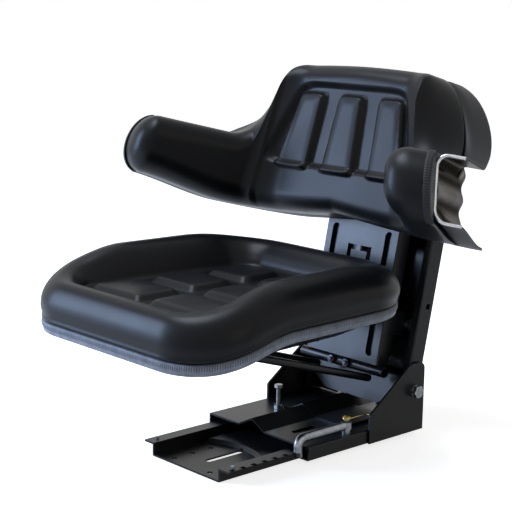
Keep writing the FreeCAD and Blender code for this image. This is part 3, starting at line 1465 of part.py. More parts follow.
def make_tension_springs():
    """Close-wound springs: a tube of coils with a flat eye at each end."""
    wire = S.spring_wire
    y = roller_line()
    for side_name, side in SIDES:
        name = side_name.title() + "Tension"
        x = side * S.spring_x
        low_eye = S.axle_radius + S.shoe_gap
        high_eye = S.spring_bar_radius + S.shoe_gap
        body_low = S.lower_axle_height + low_eye + wire * 2
        body_high = S.spring_bar_height - high_eye - wire * 2
        coil = cylinder(name + "Coil", S.spring_radius, body_high - body_low, x, y, body_low)
        hollow = cylinder(name + "Hollow", S.spring_radius - wire * 2, body_high - body_low, x, y, body_low)
        parts = [cut(name + "Tube", coil, hollow)]
        for label, level, eye, reach in (("Low", S.lower_axle_height, low_eye, 1),
                                         ("High", S.spring_bar_height, high_eye, -1)):
            ring = cylinder(name + label + "Ring", eye + wire * 2, wire * 2, x - wire, y, level, X_AXIS)
            bore = cylinder(name + label + "Bore", eye, wire * 2, x - wire, y, level, X_AXIS)
            hook = cut(name + label + "Hook", ring, bore)
            edge = level + reach * (eye + wire)
            inward = level + reach * (eye + wire * 4)
            z0, z1 = sorted((edge, inward), key=float)
            bridge = box(name + label + "Bridge", x - S.spring_radius + wire / 2,
                         x + S.spring_radius - wire / 2, y - wire, y + wire, z0, z1)
            parts += [hook, bridge]
        spring = fuse(name + "Spring", parts)
        spring.Placement = TOWER
        keep(side_name + "_tension_spring", spring)


MAKERS = (
    make_base_plate, make_stop_rivets, make_carriage_plate, make_rear_stiffener, make_slide_shoes,
    make_brackets, make_tower_channel, make_tower_foot_plate, make_tower_fasteners,
    make_spring_bar, make_stop_bolt, make_slide_lever, make_lever_pin, make_return_spring,
    make_back_frame_panel, make_axles, make_rollers, make_cross_tube, make_struts,
    make_support_arms, make_seat_pan, make_seat_edge_trim, make_seat_cushion, make_pan_bolts,
    make_backrest_cushion, make_backrest_shell, make_edge_trims, make_arm_end_trims,
    make_backrest_mounts, make_backrest_bolts, make_tension_springs)

for make in MAKERS:
    make()
doc.recompute()

for item in doc.Objects:
    if "Invalid" in item.State or "Error" in item.State:
        raise RuntimeError(item.Label + " did not rebuild: " + ", ".join(item.State))
for name, item in nodes.items():
    if item.Shape.isNull() or not item.Shape.isValid():
        raise RuntimeError(name + " has no valid shape")

os.makedirs("parts", exist_ok=True)
for name, item in nodes.items():
    item.Shape.exportStep("parts/%s.step" % name)
    print("%-24s solids %d  volume %10.0f" % (name, len(item.Shape.Solids), item.Shape.Volume))
print(len(nodes), "nodes")
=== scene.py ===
# %% [markdown]
# A tractor seat on a leaning suspension tower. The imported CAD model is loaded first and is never
# changed: it carries the sizes, places and moving parts. Each cell after it finishes the model or
# dresses one piece of it with what the real one is made of.

# %% Load the frame
import json
import math

import bmesh
import bpy
from mathutils import Matrix, Vector


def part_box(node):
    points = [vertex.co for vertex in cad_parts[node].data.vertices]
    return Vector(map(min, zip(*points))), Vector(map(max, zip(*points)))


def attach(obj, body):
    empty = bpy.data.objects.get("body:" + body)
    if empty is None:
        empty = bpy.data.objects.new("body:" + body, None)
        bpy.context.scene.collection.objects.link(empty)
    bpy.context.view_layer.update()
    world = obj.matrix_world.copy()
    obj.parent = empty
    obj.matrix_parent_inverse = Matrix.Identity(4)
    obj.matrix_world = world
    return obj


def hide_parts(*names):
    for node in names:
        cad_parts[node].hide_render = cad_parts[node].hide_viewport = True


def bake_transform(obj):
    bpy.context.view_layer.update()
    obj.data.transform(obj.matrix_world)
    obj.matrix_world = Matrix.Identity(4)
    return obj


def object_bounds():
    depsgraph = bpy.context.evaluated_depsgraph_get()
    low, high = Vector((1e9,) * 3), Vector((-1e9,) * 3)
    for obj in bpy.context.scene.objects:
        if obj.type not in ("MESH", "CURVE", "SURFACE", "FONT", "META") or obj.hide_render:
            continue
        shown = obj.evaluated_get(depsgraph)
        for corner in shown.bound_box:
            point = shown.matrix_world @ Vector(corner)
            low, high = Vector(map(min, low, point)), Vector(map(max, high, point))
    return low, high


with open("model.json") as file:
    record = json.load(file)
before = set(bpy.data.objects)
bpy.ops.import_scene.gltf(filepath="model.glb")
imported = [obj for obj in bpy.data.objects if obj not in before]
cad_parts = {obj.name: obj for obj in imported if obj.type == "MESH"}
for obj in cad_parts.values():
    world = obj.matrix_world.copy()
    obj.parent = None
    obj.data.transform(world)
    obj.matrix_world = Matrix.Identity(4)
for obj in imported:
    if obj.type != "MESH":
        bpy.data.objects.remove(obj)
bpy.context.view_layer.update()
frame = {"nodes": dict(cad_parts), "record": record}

MM = 0.001


def linked(name, data):
    item = bpy.data.objects.new(name, data)
    bpy.context.scene.collection.objects.link(item)
    return item


# %% [markdown]
# The camera stands where the photographer stood: a little above the seat, in front of the
# occupant's left hand, and so far away that parallel edges hardly run together. Aiming is done
# with a quaternion, and the small roll is added after it.

# %% Camera
AZIMUTH, ELEVATION, ROLL = [math.radians(angle) for angle in (47.4, 11.5, 0.8)]
DISTANCE = 2.1906
AIM = Vector((0, -0.05, 0.3))
FILM_WIDTH, FOCAL_LENGTH = 36, 97.2
SHIFT = (-0.014, 0.021)

away = Vector((math.sin(AZIMUTH) * math.cos(ELEVATION),
               -math.cos(AZIMUTH) * math.cos(ELEVATION), math.sin(ELEVATION)))
lens = bpy.data.cameras.new("photo_camera")
lens.sensor_width = FILM_WIDTH
lens.lens = FOCAL_LENGTH
lens.shift_x, lens.shift_y = SHIFT
camera = linked("photo_camera", lens)
camera.location = AIM + away * DISTANCE
turned = (-away).to_track_quat("-Z", "Y").to_matrix() @ Matrix.Rotation(ROLL, 3, "Z")
camera.rotation_euler = turned.to_euler()
bpy.context.scene.camera = camera
bpy.context.scene.view_settings.view_transform = "Standard"
print("camera at", tuple(round(v, 3) for v in camera.location))

# %% [markdown]
# Every material is a small tree of shader nodes. One function adds a node together with its
# settings and links, and one turns a colour as a painter reads it, in sRGB, into linear numbers.

# %% Helpers for nodes
def linear(code):
    channels = [int(code[place:place + 2], 16) / 255 for place in (1, 3, 5)]
    return [c / 12.92 if c <= 0.04045 else ((c + 0.055) / 1.055) ** 2.4 for c in channels] + [1]


def feed(tree, node, inputs):
    """Links a socket to each named input of a node, or writes a plain value there."""
    for name, value in inputs.items():
        if isinstance(value, bpy.types.NodeSocket):
            tree.links.new(value, node.inputs[name])
        else:
            node.inputs[name].default_value = value
    return node


def add(tree, kind, inputs=None, **settings):
    node = tree.nodes.new(kind)
    for name, value in settings.items():
        setattr(node, name, value)
    return feed(tree, node, inputs or {})


def new_material(name):
    material = bpy.data.materials.new(name)
    material.use_nodes = True
    tree = material.node_tree
    tree.nodes.clear()
    surface = add(tree, "ShaderNodeBsdfPrincipled")
    add(tree, "ShaderNodeOutputMaterial", {"Surface": surface.outputs["BSDF"]})
    return material, tree, surface, add(tree, "ShaderNodeTexCoord").outputs["Object"]


print("helpers for colours and nodes")

# %% [markdown]
# Wear and grain come from noise, whose scale is given as the width of one cell in millimetres.
# The noise then picks a colour, spreads a roughness or tilts the surface a little.

# %% Helpers for textures
def noise(tree, place, millimetres, detail):
    return add(tree, "ShaderNodeTexNoise", {"Vector": place, "Scale": 1 / (millimetres * MM),
                                            "Detail": detail}).outputs["Fac"]


def ramp(tree, value, dark, light, low=0.3, high=0.7):
    node = add(tree, "ShaderNodeValToRGB", {"Fac": value})
    for element, position, colour in zip(node.color_ramp.elements, (low, high), (dark, light)):
        element.position = position
        element.color = linear(colour)
    return node.outputs["Color"]


def spread(tree, value, low, high):
    return add(tree, "ShaderNodeMapRange",
               {"Value": value, "To Min": low, "To Max": high}).outputs[0]


def bump(tree, height, strength, millimetres):
    return add(tree, "ShaderNodeBump", {"Height": height, "Strength": strength,
                                        "Distance": millimetres * MM}).outputs[0]


def maths(tree, operation, first, second):
    return add(tree, "ShaderNodeMath", {0: first, 1: second}, operation=operation).outputs[0]


def darkened(tree, surface, colour, shade):
    """Mixes the colour toward a painted shade where the mesh's attribute named groove says so."""
    groove = add(tree, "ShaderNodeAttribute", attribute_name="groove").outputs["Fac"]
    mix = add(tree, "ShaderNodeMix", {"Factor": groove, 6: colour, 7: linear(shade)},
              data_type="RGBA")
    feed(tree, surface, {"Base Color": mix.outputs[2]})


print("helpers for textures")

# %% [markdown]
# The room is a plain photo studio: a pale floor that keeps the shadow, and a white world that
# only the camera and mirrors see in full, while all else gets a fifth of it as fill. The floor
# glows for the camera too, but half as much in mirrors, which keeps black pieces black below.

# %% Room
FLOOR_SIZE = 60
FILL = 0.2
FLOOR_GLOW, GLOW_MIRRORED = 0.78, 0.5


def seen_by_eye(tree, mirrored=1):
    """1 for rays of the camera and through glass, and the given share for mirrored rays."""
    path = add(tree, "ShaderNodeLightPath").outputs
    glossy = path["Is Glossy Ray"]
    if mirrored < 1:
        glossy = maths(tree, "MULTIPLY", glossy, mirrored)
    seen = maths(tree, "MAXIMUM", path["Is Camera Ray"], glossy)
    return maths(tree, "MAXIMUM", seen, path["Is Transmission Ray"])


world = bpy.context.scene.world or bpy.data.worlds.new("studio")
bpy.context.scene.world = world
world.use_nodes = True
tree = world.node_tree
tree.nodes.clear()
level = spread(tree, seen_by_eye(tree), FILL, 1.0)
backdrop = add(tree, "ShaderNodeBackground", {"Color": linear("#ffffff"), "Strength": level})
add(tree, "ShaderNodeOutputWorld", {"Surface": backdrop.outputs[0]})

bpy.ops.object.select_all(action="DESELECT")
bpy.ops.mesh.primitive_plane_add(size=FLOOR_SIZE, location=(0, 0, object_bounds()[0][2] - 0.5 * MM))
floor = bpy.context.object
floor.name = "studio_floor"
material, tree, surface, place = new_material("matt_white_board")
glow = maths(tree, "MULTIPLY", seen_by_eye(tree, GLOW_MIRRORED), FLOOR_GLOW)
feed(tree, surface, {"Base Color": linear("#f2f2f2"), "Roughness": 0.9,
                     "Emission Color": linear("#ffffff"), "Emission Strength": glow})
floor.data.materials.append(material)
print("floor", FLOOR_SIZE, "m wide")

# %% [markdown]
# Three lamps, all large, so that black vinyl shows long soft highlights: a broad one overhead, a
# tall cool one beside the camera, which gives pads and enamel their blue sheen, and a faint warm
# one on the other side.

# %% Lamps
def softbox(name, place, size, power, colour):
    lamp = bpy.data.lights.new(name, "AREA")
    lamp.shape = "RECTANGLE"
    lamp.size, lamp.size_y = size
    lamp.energy = power
    lamp.color = linear(colour)[:3]
    holder = linked(name, lamp)
    holder.location = place
    holder.rotation_euler = (AIM - Vector(place)).to_track_quat("-Z", "Y").to_euler()


softbox("overhead_softbox", (-0.6, -0.6, 2.3), (1.3, 0.8), 46, "#e6efff")
softbox("left_softbox", (-2.15, -2.05, 1.05), (0.8, 1.7), 112, "#bcd6ff")
softbox("right_softbox", (2.6, -0.4, 1.0), (0.5, 1.4), 4, "#fff2e2")
print("three lamps")

# %% [markdown]
# Flexible PVC over foam: a black satin skin, moulded warm over the pads, with a fine pressed
# grain, drawn 1.6 mm wide. Its roughness wanders where hands and cloth have polished it.

# %% PVC skin
vinyl, tree, surface, place = new_material("pressed_grain_pvc")
cells = add(tree, "ShaderNodeTexVoronoi", {"Vector": place, "Scale": 1 / (1.6 * MM)},
            feature="SMOOTH_F1")
worn = noise(tree, place, 60, 4)
feed(tree, surface, {"Base Color": ramp(tree, worn, "#060709", "#0a0b0d"),
                     "Roughness": spread(tree, worn, 0.32, 0.42),
                     "Normal": bump(tree, cells.outputs["Distance"], 0.25, 0.12),
                     "IOR": 1.53, "Specular IOR Level": 0.12, "Sheen Weight": 0.01,
                     "Sheen Roughness": 0.5, "Sheen Tint": linear("#aebfd6")})
print(vinyl.name)

# %% [markdown]
# Stoved black enamel on pressed steel: a thin hard film with the slight orange peel that spray
# leaves, about 3 mm from hill to hill, and a few paler scuffs where the sheet is handled.

# %% Enamel
enamel, tree, surface, place = new_material("stoved_black_enamel")
peel = noise(tree, place, 3, 2)
dust = noise(tree, place, 90, 6)
feed(tree, surface, {"Base Color": ramp(tree, dust, "#0a0b0d", "#131518", 0.35, 0.75),
                     "Roughness": spread(tree, dust, 0.24, 0.4),
                     "Normal": bump(tree, peel, 0.12, 0.2), "Specular IOR Level": 0.2,
                     "Coat Weight": 0.04, "Coat Roughness": 0.2})
print(enamel.name)

# %% [markdown]
# Metals. Bare cold-rolled sheet keeps fine lines along the rolls. Zinc plate on bolts is greyer
# and patchy, and the yellow kind is the same plate after a chromate bath. Spring wire is dark
# from its heat treatment and shines through a film of oil.

# %% Metals
def metal(name, dark, light, rough, patch_mm):
    material, tree, surface, place = new_material(name)
    patches = noise(tree, place, patch_mm, 5)
    feed(tree, surface, {"Base Color": ramp(tree, patches, dark, light),
                         "Roughness": spread(tree, patches, rough - 0.06, rough + 0.1),
                         "Metallic": 1})
    return material


finishes = {"black_vinyl": vinyl, "black_enamel": enamel,
            "bright_zinc": metal("bright_zinc_plate", "#7a7e83", "#94989c", 0.28, 6),
            "yellow_zinc": metal("yellow_chromate_zinc", "#a98a45", "#d8bf74", 0.28, 4),
            "spring_steel": metal("oiled_spring_steel", "#2c2c2f", "#4b4b4e", 0.32, 5),
            "bare_steel": metal("cold_rolled_sheet", "#94918d", "#b2afab", 0.22, 40)}
worn_edge = metal("polished_sheet_edge", "#a3a4a6", "#c4c5c6", 0.26, 8)
print("five metals")

# %% [markdown]
# The sheet's lines are drawn 0.8 mm apart, from noise stretched fifty times along the rolls, and
# painted shade darkens its folds. Its shine is dimmed at a slant, because the inside of an arm
# would mirror the white room there and look like paper.

# %% Lines and painted shade on the sheet
tree = finishes["bare_steel"].node_tree
surface = tree.nodes["Principled BSDF"]
place = tree.nodes["Texture Coordinate"].outputs["Object"]
stretched = add(tree, "ShaderNodeMapping", {"Vector": place, "Scale": (0.02, 0.02, 1)})
lines = noise(tree, stretched.outputs[0], 0.8, 2)
feed(tree, surface, {"Normal": bump(tree, lines, 0.06, 0.02), "Specular Tint": linear("#949290")})
# painted shade: the steel's colour darkens toward #0c0c0d where the groove attribute marks folds
# and valleys
darkened(tree, surface, surface.inputs["Base Color"].links[0].from_socket, "#0c0c0d")
print(finishes["bare_steel"].name)

# %% [markdown]
# Plastics. Rollers and shoes are dull black nylon. The seat's edging is extruded blue-grey PVC and
# the backrest's is black, both pressed with fine ribs. The mesh has those ribs, and its attribute
# named groove says where painted shade lies between two of them. With these the list is complete,
# and each node gets the finish that the record names.

# %% Nylon and edging
def plastic(name, dark, light, rough, patch_mm):
    material, tree, surface, place = new_material(name)
    # painted shade: the colour darkens toward #08090a where the groove attribute marks the gap
    # between ribs
    darkened(tree, surface, ramp(tree, noise(tree, place, patch_mm, 4), dark, light), "#08090a")
    fine = noise(tree, place, 0.9, 2)
    feed(tree, surface, {"Normal": bump(tree, fine, 0.15, 0.05), "Roughness": rough,
                         "Specular IOR Level": 0.25})
    return material


finishes |= {"nylon": plastic("moulded_black_nylon", "#141416", "#202124", 0.5, 10),
             "grey_trim": plastic("extruded_grey_pvc", "#62666f", "#7c818a", 0.42, 15),
             "black_trim": plastic("extruded_black_pvc", "#0b0c0e", "#131417", 0.5, 15)}
slot_of = {part["node"]: part["material_slot"] for part in frame["record"]["subparts"]}
for name, item in frame["nodes"].items():
    item.data.materials.clear()
    item.data.materials.append(finishes[slot_of[name]])
print(len(slot_of), "nodes dressed")

# %% [markdown]
# Soft pieces are skins over a grid of points: rings or sections that follow the real form, with
# pads and hollows pressed in by height. One function turns a grid into a closed mesh. It also
# makes the seat's edging, whose last row meets its first, and the shell, whose ends show the sheet.

# %% Skin from a grid
def eased(share):
    share = min(max(share, 0), 1)
    return share * share * (3 - 2 * share)


def grooved(mesh, depths):
    """Stores how much painted shade each point gets, from 0 on a rib to 1 between two."""
    field = mesh.attributes.new("groove", "FLOAT", "POINT")
    field.data.foreach_set("value", depths)


def cap(shape, row, ends):
    """Closes an end row: a fan about its middle, or quads across a sheet."""
    count = len(row)
    if ends == "sheet":
        for index in range(count // 2 - 1):
            shape.faces.new((row[index], row[index + 1], row[count - 2 - index],
                             row[count - 1 - index]))
    else:
        tip = shape.verts.new(sum((v.co for v in row), Vector()) / count)
        for index in range(count):
            shape.faces.new((row[index], row[(index + 1) % count], tip))


def skin(rows, ends="fan"):
    """Mesh over rows of points. Each row is closed, and the ends are fan, sheet or ring."""
    mesh = bpy.data.meshes.new("skin")
    shape = bmesh.new()
    grid = [[shape.verts.new(point) for point in row] for row in rows]
    for low, high in zip(grid, grid[1:] + (grid[:1] if ends == "ring" else [])):
        for index in range(len(low)):
            after = (index + 1) % len(low)
            shape.faces.new((low[index], low[after], high[after], high[index]))
    if ends != "ring":
        cap(shape, grid[0], ends)
        cap(shape, grid[-1], ends)
    if ends == "fan":
        bmesh.ops.remove_doubles(shape, verts=shape.verts, dist=0.05 * MM)
    bmesh.ops.recalc_face_normals(shape, faces=shape.faces)
    shape.to_mesh(mesh)
    shape.free()
    mesh.polygons.foreach_set("use_smooth", [True] * len(mesh.polygons))
    return linked("skin", mesh)


print("one function for skins, rings and sheets")

# %% [markdown]
# Every piece ends in the same way: it is named and gets the finish of its slot, the nodes it
# stands for are hidden, and it rides on one body if it is given one. Smoothing stops at edges
# sharper than an angle.

# %% Finishing a piece
SIDES = (("left", 1), ("right", -1))


def fresh(*pieces):
    """Leaves edit mode and selects only these pieces, with the first one active."""
    if bpy.context.object and bpy.context.object.mode != "OBJECT":
        bpy.ops.object.mode_set(mode="OBJECT")
    bpy.ops.object.select_all(action="DESELECT")
    for one in pieces:
        one.select_set(True)
        bpy.context.view_layer.objects.active = pieces[0]


def shaped(piece, kind, **settings):
    """Applies one modifier with these settings to the active piece."""
    modifier = piece.modifiers.new("step", kind)
    for name, value in settings.items():
        setattr(modifier, name, value)
    bpy.ops.object.modifier_apply(modifier="step")


def smoothed(piece, degrees):
    fresh(piece)
    bpy.ops.object.shade_smooth_by_angle(angle=math.radians(degrees))
    return piece


def joined(pieces):
    fresh(*pieces)
    if len(pieces) > 1:
        bpy.ops.object.join()
    return pieces[0]


def finished(piece, name, slot, *nodes, body="suspended_frame", material=None):
    piece.name = piece.data.name = name
    piece.data.materials.clear()
    piece.data.materials.append(material or finishes[slot])
    if nodes:
        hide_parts(*nodes)
    if body:
        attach(piece, body)
    return piece


print("five functions for the last steps")

# %% [markdown]
# The seat's outline has four straight sides, wider in front than behind, and four round corners.
# Its size comes from the frame, less the foam's bulge over the edging. The hollow lies inside it.

# %% Outline of the seat
cushion_low, cushion_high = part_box("seat_cushion")
edging_low, edging_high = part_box("seat_edge_trim")
BULGE = 8 * MM
RING_POINTS = 288
CORNER_STEPS = 24
FRONT = {"half": cushion_high.x - BULGE, "y": cushion_low.y + BULGE, "corner": 96 * MM}
REAR = {"half": FRONT["half"] - 19 * MM, "y": cushion_high.y - BULGE, "corner": 118 * MM}
HOLLOW_FRONT = {"half": 155 * MM, "y": FRONT["y"] + 48 * MM, "corner": 42 * MM}
HOLLOW_REAR = {"half": 118 * MM, "y": REAR["y"] - 76 * MM, "corner": 42 * MM}


def corner_arc(here, before, after, radius):
    """Points of the round corner at one place, between its two neighbours."""
    toward, off = (before - here).normalized(), (after - here).normalized()
    half_turn = (math.pi - toward.angle(off)) / 2
    centre = here + (toward + off).normalized() * (radius / math.cos(half_turn))
    start = here + toward * (radius * math.tan(half_turn)) - centre
    angles = [2 * half_turn * step / CORNER_STEPS for step in range(CORNER_STEPS + 1)]
    return [centre + Vector((start.x * math.cos(a) - start.y * math.sin(a),
                             start.x * math.sin(a) + start.y * math.cos(a))) for a in angles]


def outline(front, rear, count=RING_POINTS):
    """Points at even spacing round four straight sides and their round corners."""
    ends = (front, front, rear, rear)
    places = [Vector((side * end["half"], end["y"])) for side, end in zip((-1, 1, 1, -1), ends)]
    dense = []
    for index, end in enumerate(ends):
        after = places[(index + 1) % 4]
        dense += corner_arc(places[index], places[index - 1], after, end["corner"])
    dense.append(dense[0])
    lengths = [0]
    for first, second in zip(dense, dense[1:]):
        lengths.append(lengths[-1] + (second - first).length)
    points, segment = [], 0
    for index in range(count):
        target = lengths[-1] * index / count
        while lengths[segment + 1] < target:
            segment += 1
        share = (target - lengths[segment]) / max(lengths[segment + 1] - lengths[segment], 1e-9)
        points.append(dense[segment].lerp(dense[segment + 1], share))
    return points


print("seat %.0f mm wide, %.0f mm deep" % (2000 * FRONT["half"], 1000 * (REAR["y"] - FRONT["y"])))

# %% [markdown]
# Seen from the side, the rim of the pan drops toward the front so that the legs swing over it.
# The crest of the bolster does the same, and it falls a little toward the rear too.

# %% Rim and crest of the seat
EDGING = 12 * MM
DROOP = 175 * MM
FRONT_DROP, REAR_DROP = 37 * MM, 15 * MM
REAR_START = -60 * MM


def rim(y):
    rise = eased((y - FRONT["y"]) / DROOP)
    return edging_low.z + (edging_high.z - EDGING - edging_low.z) * rise


def crest(y):
    rise = eased((y - FRONT["y"]) / DROOP)
    fall = eased((y - REAR_START) / (REAR["y"] - REAR_START))
    return cushion_high.z - FRONT_DROP * (1 - rise) - REAR_DROP * fall


def edging_top(y):
    return rim(y) + EDGING


def mixed(first, second, share):
    return {key: first[key] + (second[key] - first[key]) * share for key in first}


def shrunk(inset):
    """The outline's two ends, moved in by so many millimetres."""
    return [{"half": end["half"] - inset * MM, "y": end["y"] + inset * MM * forward,
             "corner": end["corner"] - inset * MM} for end, forward in ((FRONT, 1), (REAR, -1))]


print("rim from %.0f to %.0f mm" % (1000 * rim(FRONT["y"]), 1000 * rim(REAR["y"])))

# %% [markdown]
# The hollow's six pads are raised by height only: a point well inside a pad's outline is lifted
# by the full rise, and one near the edge by less, which leaves soft grooves between the pads.

# %% Seat pads
PAD_GAP, PAD_MARGIN = 18 * MM, 19 * MM
PAD_RISE, PAD_DOME = 10 * MM, 3 * MM


def inside(x, y, corners, soft):
    """Distance inside a convex outline given anticlockwise, with its corners rounded."""
    total = 0
    for (x0, y0), (x1, y1) in zip(corners, corners[1:] + corners[:1]):
        length = math.hypot(x1 - x0, y1 - y0)
        across = ((x1 - x0) * (y - y0) - (y1 - y0) * (x - x0)) / length
        total += math.exp(min(-across / soft, 60))
    return -soft * math.log(total)


def seat_pad_outlines():
    start, end = HOLLOW_FRONT["y"] + PAD_MARGIN, HOLLOW_REAR["y"] - PAD_MARGIN
    pitch = (end - start + PAD_GAP) / 3
    inner = PAD_GAP / 2
    pads = []
    for row in range(3):
        near = start + row * pitch
        far = near + pitch - PAD_GAP
        wide, narrow = [mixed(HOLLOW_FRONT, HOLLOW_REAR, (y - start) / (end - start))["half"]
                        - PAD_MARGIN for y in (near, far)]
        pads.append([(inner, near), (wide, near), (narrow, far), (inner, far)])
        pads.append([(-wide, near), (-inner, near), (-inner, far), (-narrow, far)])
    return pads


SEAT_PADS = seat_pad_outlines()


def seat_pad_rise(x, y):
    best = max(inside(x, y, pad, 5 * MM) for pad in SEAT_PADS)
    return PAD_RISE * eased((best + 3 * MM) / (13 * MM)) + PAD_DOME * eased(best / (40 * MM))


print(len(SEAT_PADS), "pads")

# %% [markdown]
# The real cushion is foam moulded with its skin, so it has no piping and no loose folds. A few
# rings fix its bolster, which leans a little out over the edging, its wall and the hollow's
# floor. Each pair says how far in toward the hollow a ring lies, and how far up to the crest.

# %% Rings of the seat cushion
HOLLOW_FLOOR = 0.274
BOLSTER = (edging_top, ((-0.055, 0.16), (-0.085, 0.32), (-0.075, 0.48), (-0.03, 0.64),
                        (0.06, 0.8), (0.19, 0.93), (0.36, 1.0)))
HOLLOW_WALL = (lambda y: HOLLOW_FLOOR, ((0.52, 0.985), (0.68, 0.86), (0.82, 0.6), (0.94, 0.28),
                                        (1.02, 0.07)))


def seat_guides():
    """The rings from under the edging up, over and down to the middle of the hollow."""
    def ring(front, rear, height):
        return [Vector((p.x, p.y, height(p.y))) for p in outline(front, rear)]

    guides = [ring(*shrunk(inset), lambda y: edging_top(y) + rise * MM)
              for inset, rise in ((14, -4), (4, -3), (1, 0.6), (-3.5, 3))]
    for base, pairs in (BOLSTER, HOLLOW_WALL):
        for across, share in pairs:
            guides.append(ring(mixed(FRONT, HOLLOW_FRONT, across),
                               mixed(REAR, HOLLOW_REAR, across),
                               lambda y: base(y) + (crest(y) - base(y)) * share))
    centre = Vector((0, (HOLLOW_FRONT["y"] + HOLLOW_REAR["y"]) / 2, HOLLOW_FLOOR))
    floor_edge = ring(HOLLOW_FRONT, HOLLOW_REAR, lambda y: HOLLOW_FLOOR)
    for share in (0.9, 0.72, 0.54, 0.36, 0.18, 0.03):
        guides.append([centre + (p - centre) * share for p in floor_edge])
    return guides


guides = seat_guides()
print(len(guides), "guiding rings")

# %% [markdown]
# A smooth curve through these rings fills in the ones between, closer together on the floor. Then
# the pads are lifted there, and their rise fades out as the hollow's wall climbs.

# %% Seat cushion
WALL_STEPS, FLOOR_STEPS = 4, 8
PADS_FROM, FLOOR_FROM = 13, 15
PADS_BELOW, PADS_FADE = 0.29, 12 * MM


def between(before, first, second, after, share):
    """Catmull-Rom curve through four rows of points."""
    row = []
    for a, b, c, d in zip(before, first, second, after):
        row.append(0.5 * (2 * b + (c - a) * share + (2 * a - 5 * b + 4 * c - d) * share ** 2
                          + (3 * b - a - 3 * c + d) * share ** 3))
    return row


rows = []
last = len(guides) - 1
for span in range(last):
    near, far = guides[max(span - 1, 0)], guides[min(span + 2, last)]
    steps = FLOOR_STEPS if span >= FLOOR_FROM else WALL_STEPS
    for step in range(steps):
        rows.append(between(near, guides[span], guides[span + 1], far, step / steps))
rows.append(guides[-1])
for row in rows[WALL_STEPS * PADS_FROM:]:
    for point in row:
        point.z += seat_pad_rise(point.x, point.y) * eased((PADS_BELOW - point.z) / PADS_FADE)
seat_skin = finished(skin(rows), "seat_cushion_skin", "black_vinyl", "seat_cushion")
print("seat cushion:", len(seat_skin.data.polygons), "faces")

# %% [markdown]
# A strip of extruded edging grips the pan's rim. It is pressed with cross ribs 3.5 mm apart so
# that it can bend round the corners. Each corner of its section is given by its inset and height
# in millimetres, and by its share of a rib's height.

# %% Seat edging
RIB_PITCH, RIB_HEIGHT = 3.5 * MM, 1.1 * MM
COLUMNS_PER_RIB = 4
SECTION = ((3.5, -5, 0), (-0.6, -5.2, 0), (-1.6, -4.4, 0), (-1.8, -1, 0), (-2.0, 0.6, 0),
           (-2.4, 1.4, 0.5), (-3.0, 3.6, 1), (-3.2, 6.2, 1), (-3.0, 9, 1), (-2.2, 11, 0.5),
           (0, 12, 0), (3.5, 11.6, 0))
around = outline(FRONT, REAR)
perimeter = sum((b - a).length for a, b in zip(around, around[1:] + around[:1]))
ribs = round(perimeter / RIB_PITCH)
columns = ribs * COLUMNS_PER_RIB
rows, depths = [], []
for inset, rise, rib in SECTION:
    row = []
    line = outline(*shrunk(inset), columns)
    for index, point in enumerate(line):
        after = line[(index + 1) % columns]
        normal = Vector((after.y - point.y, point.x - after.x)).normalized()
        wave = abs(math.sin(math.pi * index / COLUMNS_PER_RIB)) * RIB_HEIGHT * rib
        spot = point + normal * wave
        row.append(Vector((spot.x, spot.y, rim(spot.y) + rise * MM)))
        # painted shade: the groove attribute darkens the edging between two ribs
        depths.append(0.85 * rib * (index % COLUMNS_PER_RIB == 0))
    rows.append(row)
edging = skin(rows, "ring")
grooved(edging.data, depths)
finished(edging, "seat_edging", "grey_trim", "seat_edge_trim")
print("edging:", ribs, "ribs round", round(perimeter * 1000), "mm")

# %% [markdown]
# The backrest wraps round the occupant. Think of a wall seen from above: straight in the
# middle, turned through 64 degrees at each side, then straight again as the arms. The whole
# backrest leans back by 15 degrees and narrows a little toward the top.

# %% Wall of the backrest
LEAN, TURN = math.radians(15), math.radians(64)
WALL, FLAT, ROUND, ARM = 52 * MM, 160 * MM, 100 * MM, 160 * MM
ARM_END = FLAT + ROUND * TURN + ARM
CREST, ARM_CREST, FOOT = 0.633, 0.490, 0.386
FLARE_SHARE = 0.086


def wall_place(distance):
    side = 1 if distance >= 0 else -1
    along = abs(distance)
    bend = min(max(along - FLAT, 0) / ROUND, TURN)
    beyond = max(along - FLAT - ROUND * TURN, 0)
    x = min(along, FLAT) + ROUND * math.sin(bend) + beyond * math.cos(TURN)
    y = WALL - ROUND * (1 - math.cos(bend)) - beyond * math.sin(TURN)
    return side * x, y, -side * math.sin(bend), -math.cos(bend)


def narrowing(height):
    return 1 - FLARE_SHARE * (height - ARM_CREST) / (CREST - ARM_CREST)


def leaned(distance, depth, height):
    x, y, to_x, to_y = wall_place(distance)
    flat_y = y + to_y * depth
    return Vector((x * narrowing(height) + to_x * depth,
                   flat_y * math.cos(LEAN) + height * math.sin(LEAN),
                   height * math.cos(LEAN) - flat_y * math.sin(LEAN)))


def along_wall(steps):
    """Evenly spaced distances from the right arm's end to the left one's."""
    return [-ARM_END + 2 * ARM_END * step / steps for step in range(steps + 1)]


print("wall to arm end: %.0f mm" % (ARM_END * 1000))

# %% [markdown]
# Three curves along the wall give the pad its face: the upper edge falls over a shoulder to the
# arms, the lower edge sags and rises again, and the pad swells where it turns into an arm.

# %% Edges of the backrest
SHOULDER = (142 * MM, 305 * MM)
CROWN = 4 * MM
SAG, SAG_DEPTH, ARM_RISE = 272 * MM, 16 * MM, 14 * MM
THICK, SWELL, SETTLE = 62 * MM, 18 * MM, 6 * MM
SWELL_AT, SWELL_OVER = 118 * MM, 71 * MM


def upper_edge(distance):
    fall = eased((abs(distance) - SHOULDER[0]) / (SHOULDER[1] - SHOULDER[0]))
    top = CREST - CROWN * min(abs(distance) / SHOULDER[0], 1) ** 2
    return top + (ARM_CREST - top) * fall


def lower_edge(distance):
    along = abs(distance)
    sag = SAG_DEPTH * max(1 - ((along - SAG) / SAG) ** 2, 0)
    return FOOT - sag + ARM_RISE * eased((along - SAG) / ARM)


def thickness(distance):
    along = abs(distance)
    swell = eased((along - SWELL_AT) / SWELL_OVER)
    return THICK + SWELL * swell - SETTLE * eased((along - SAG) / ARM)


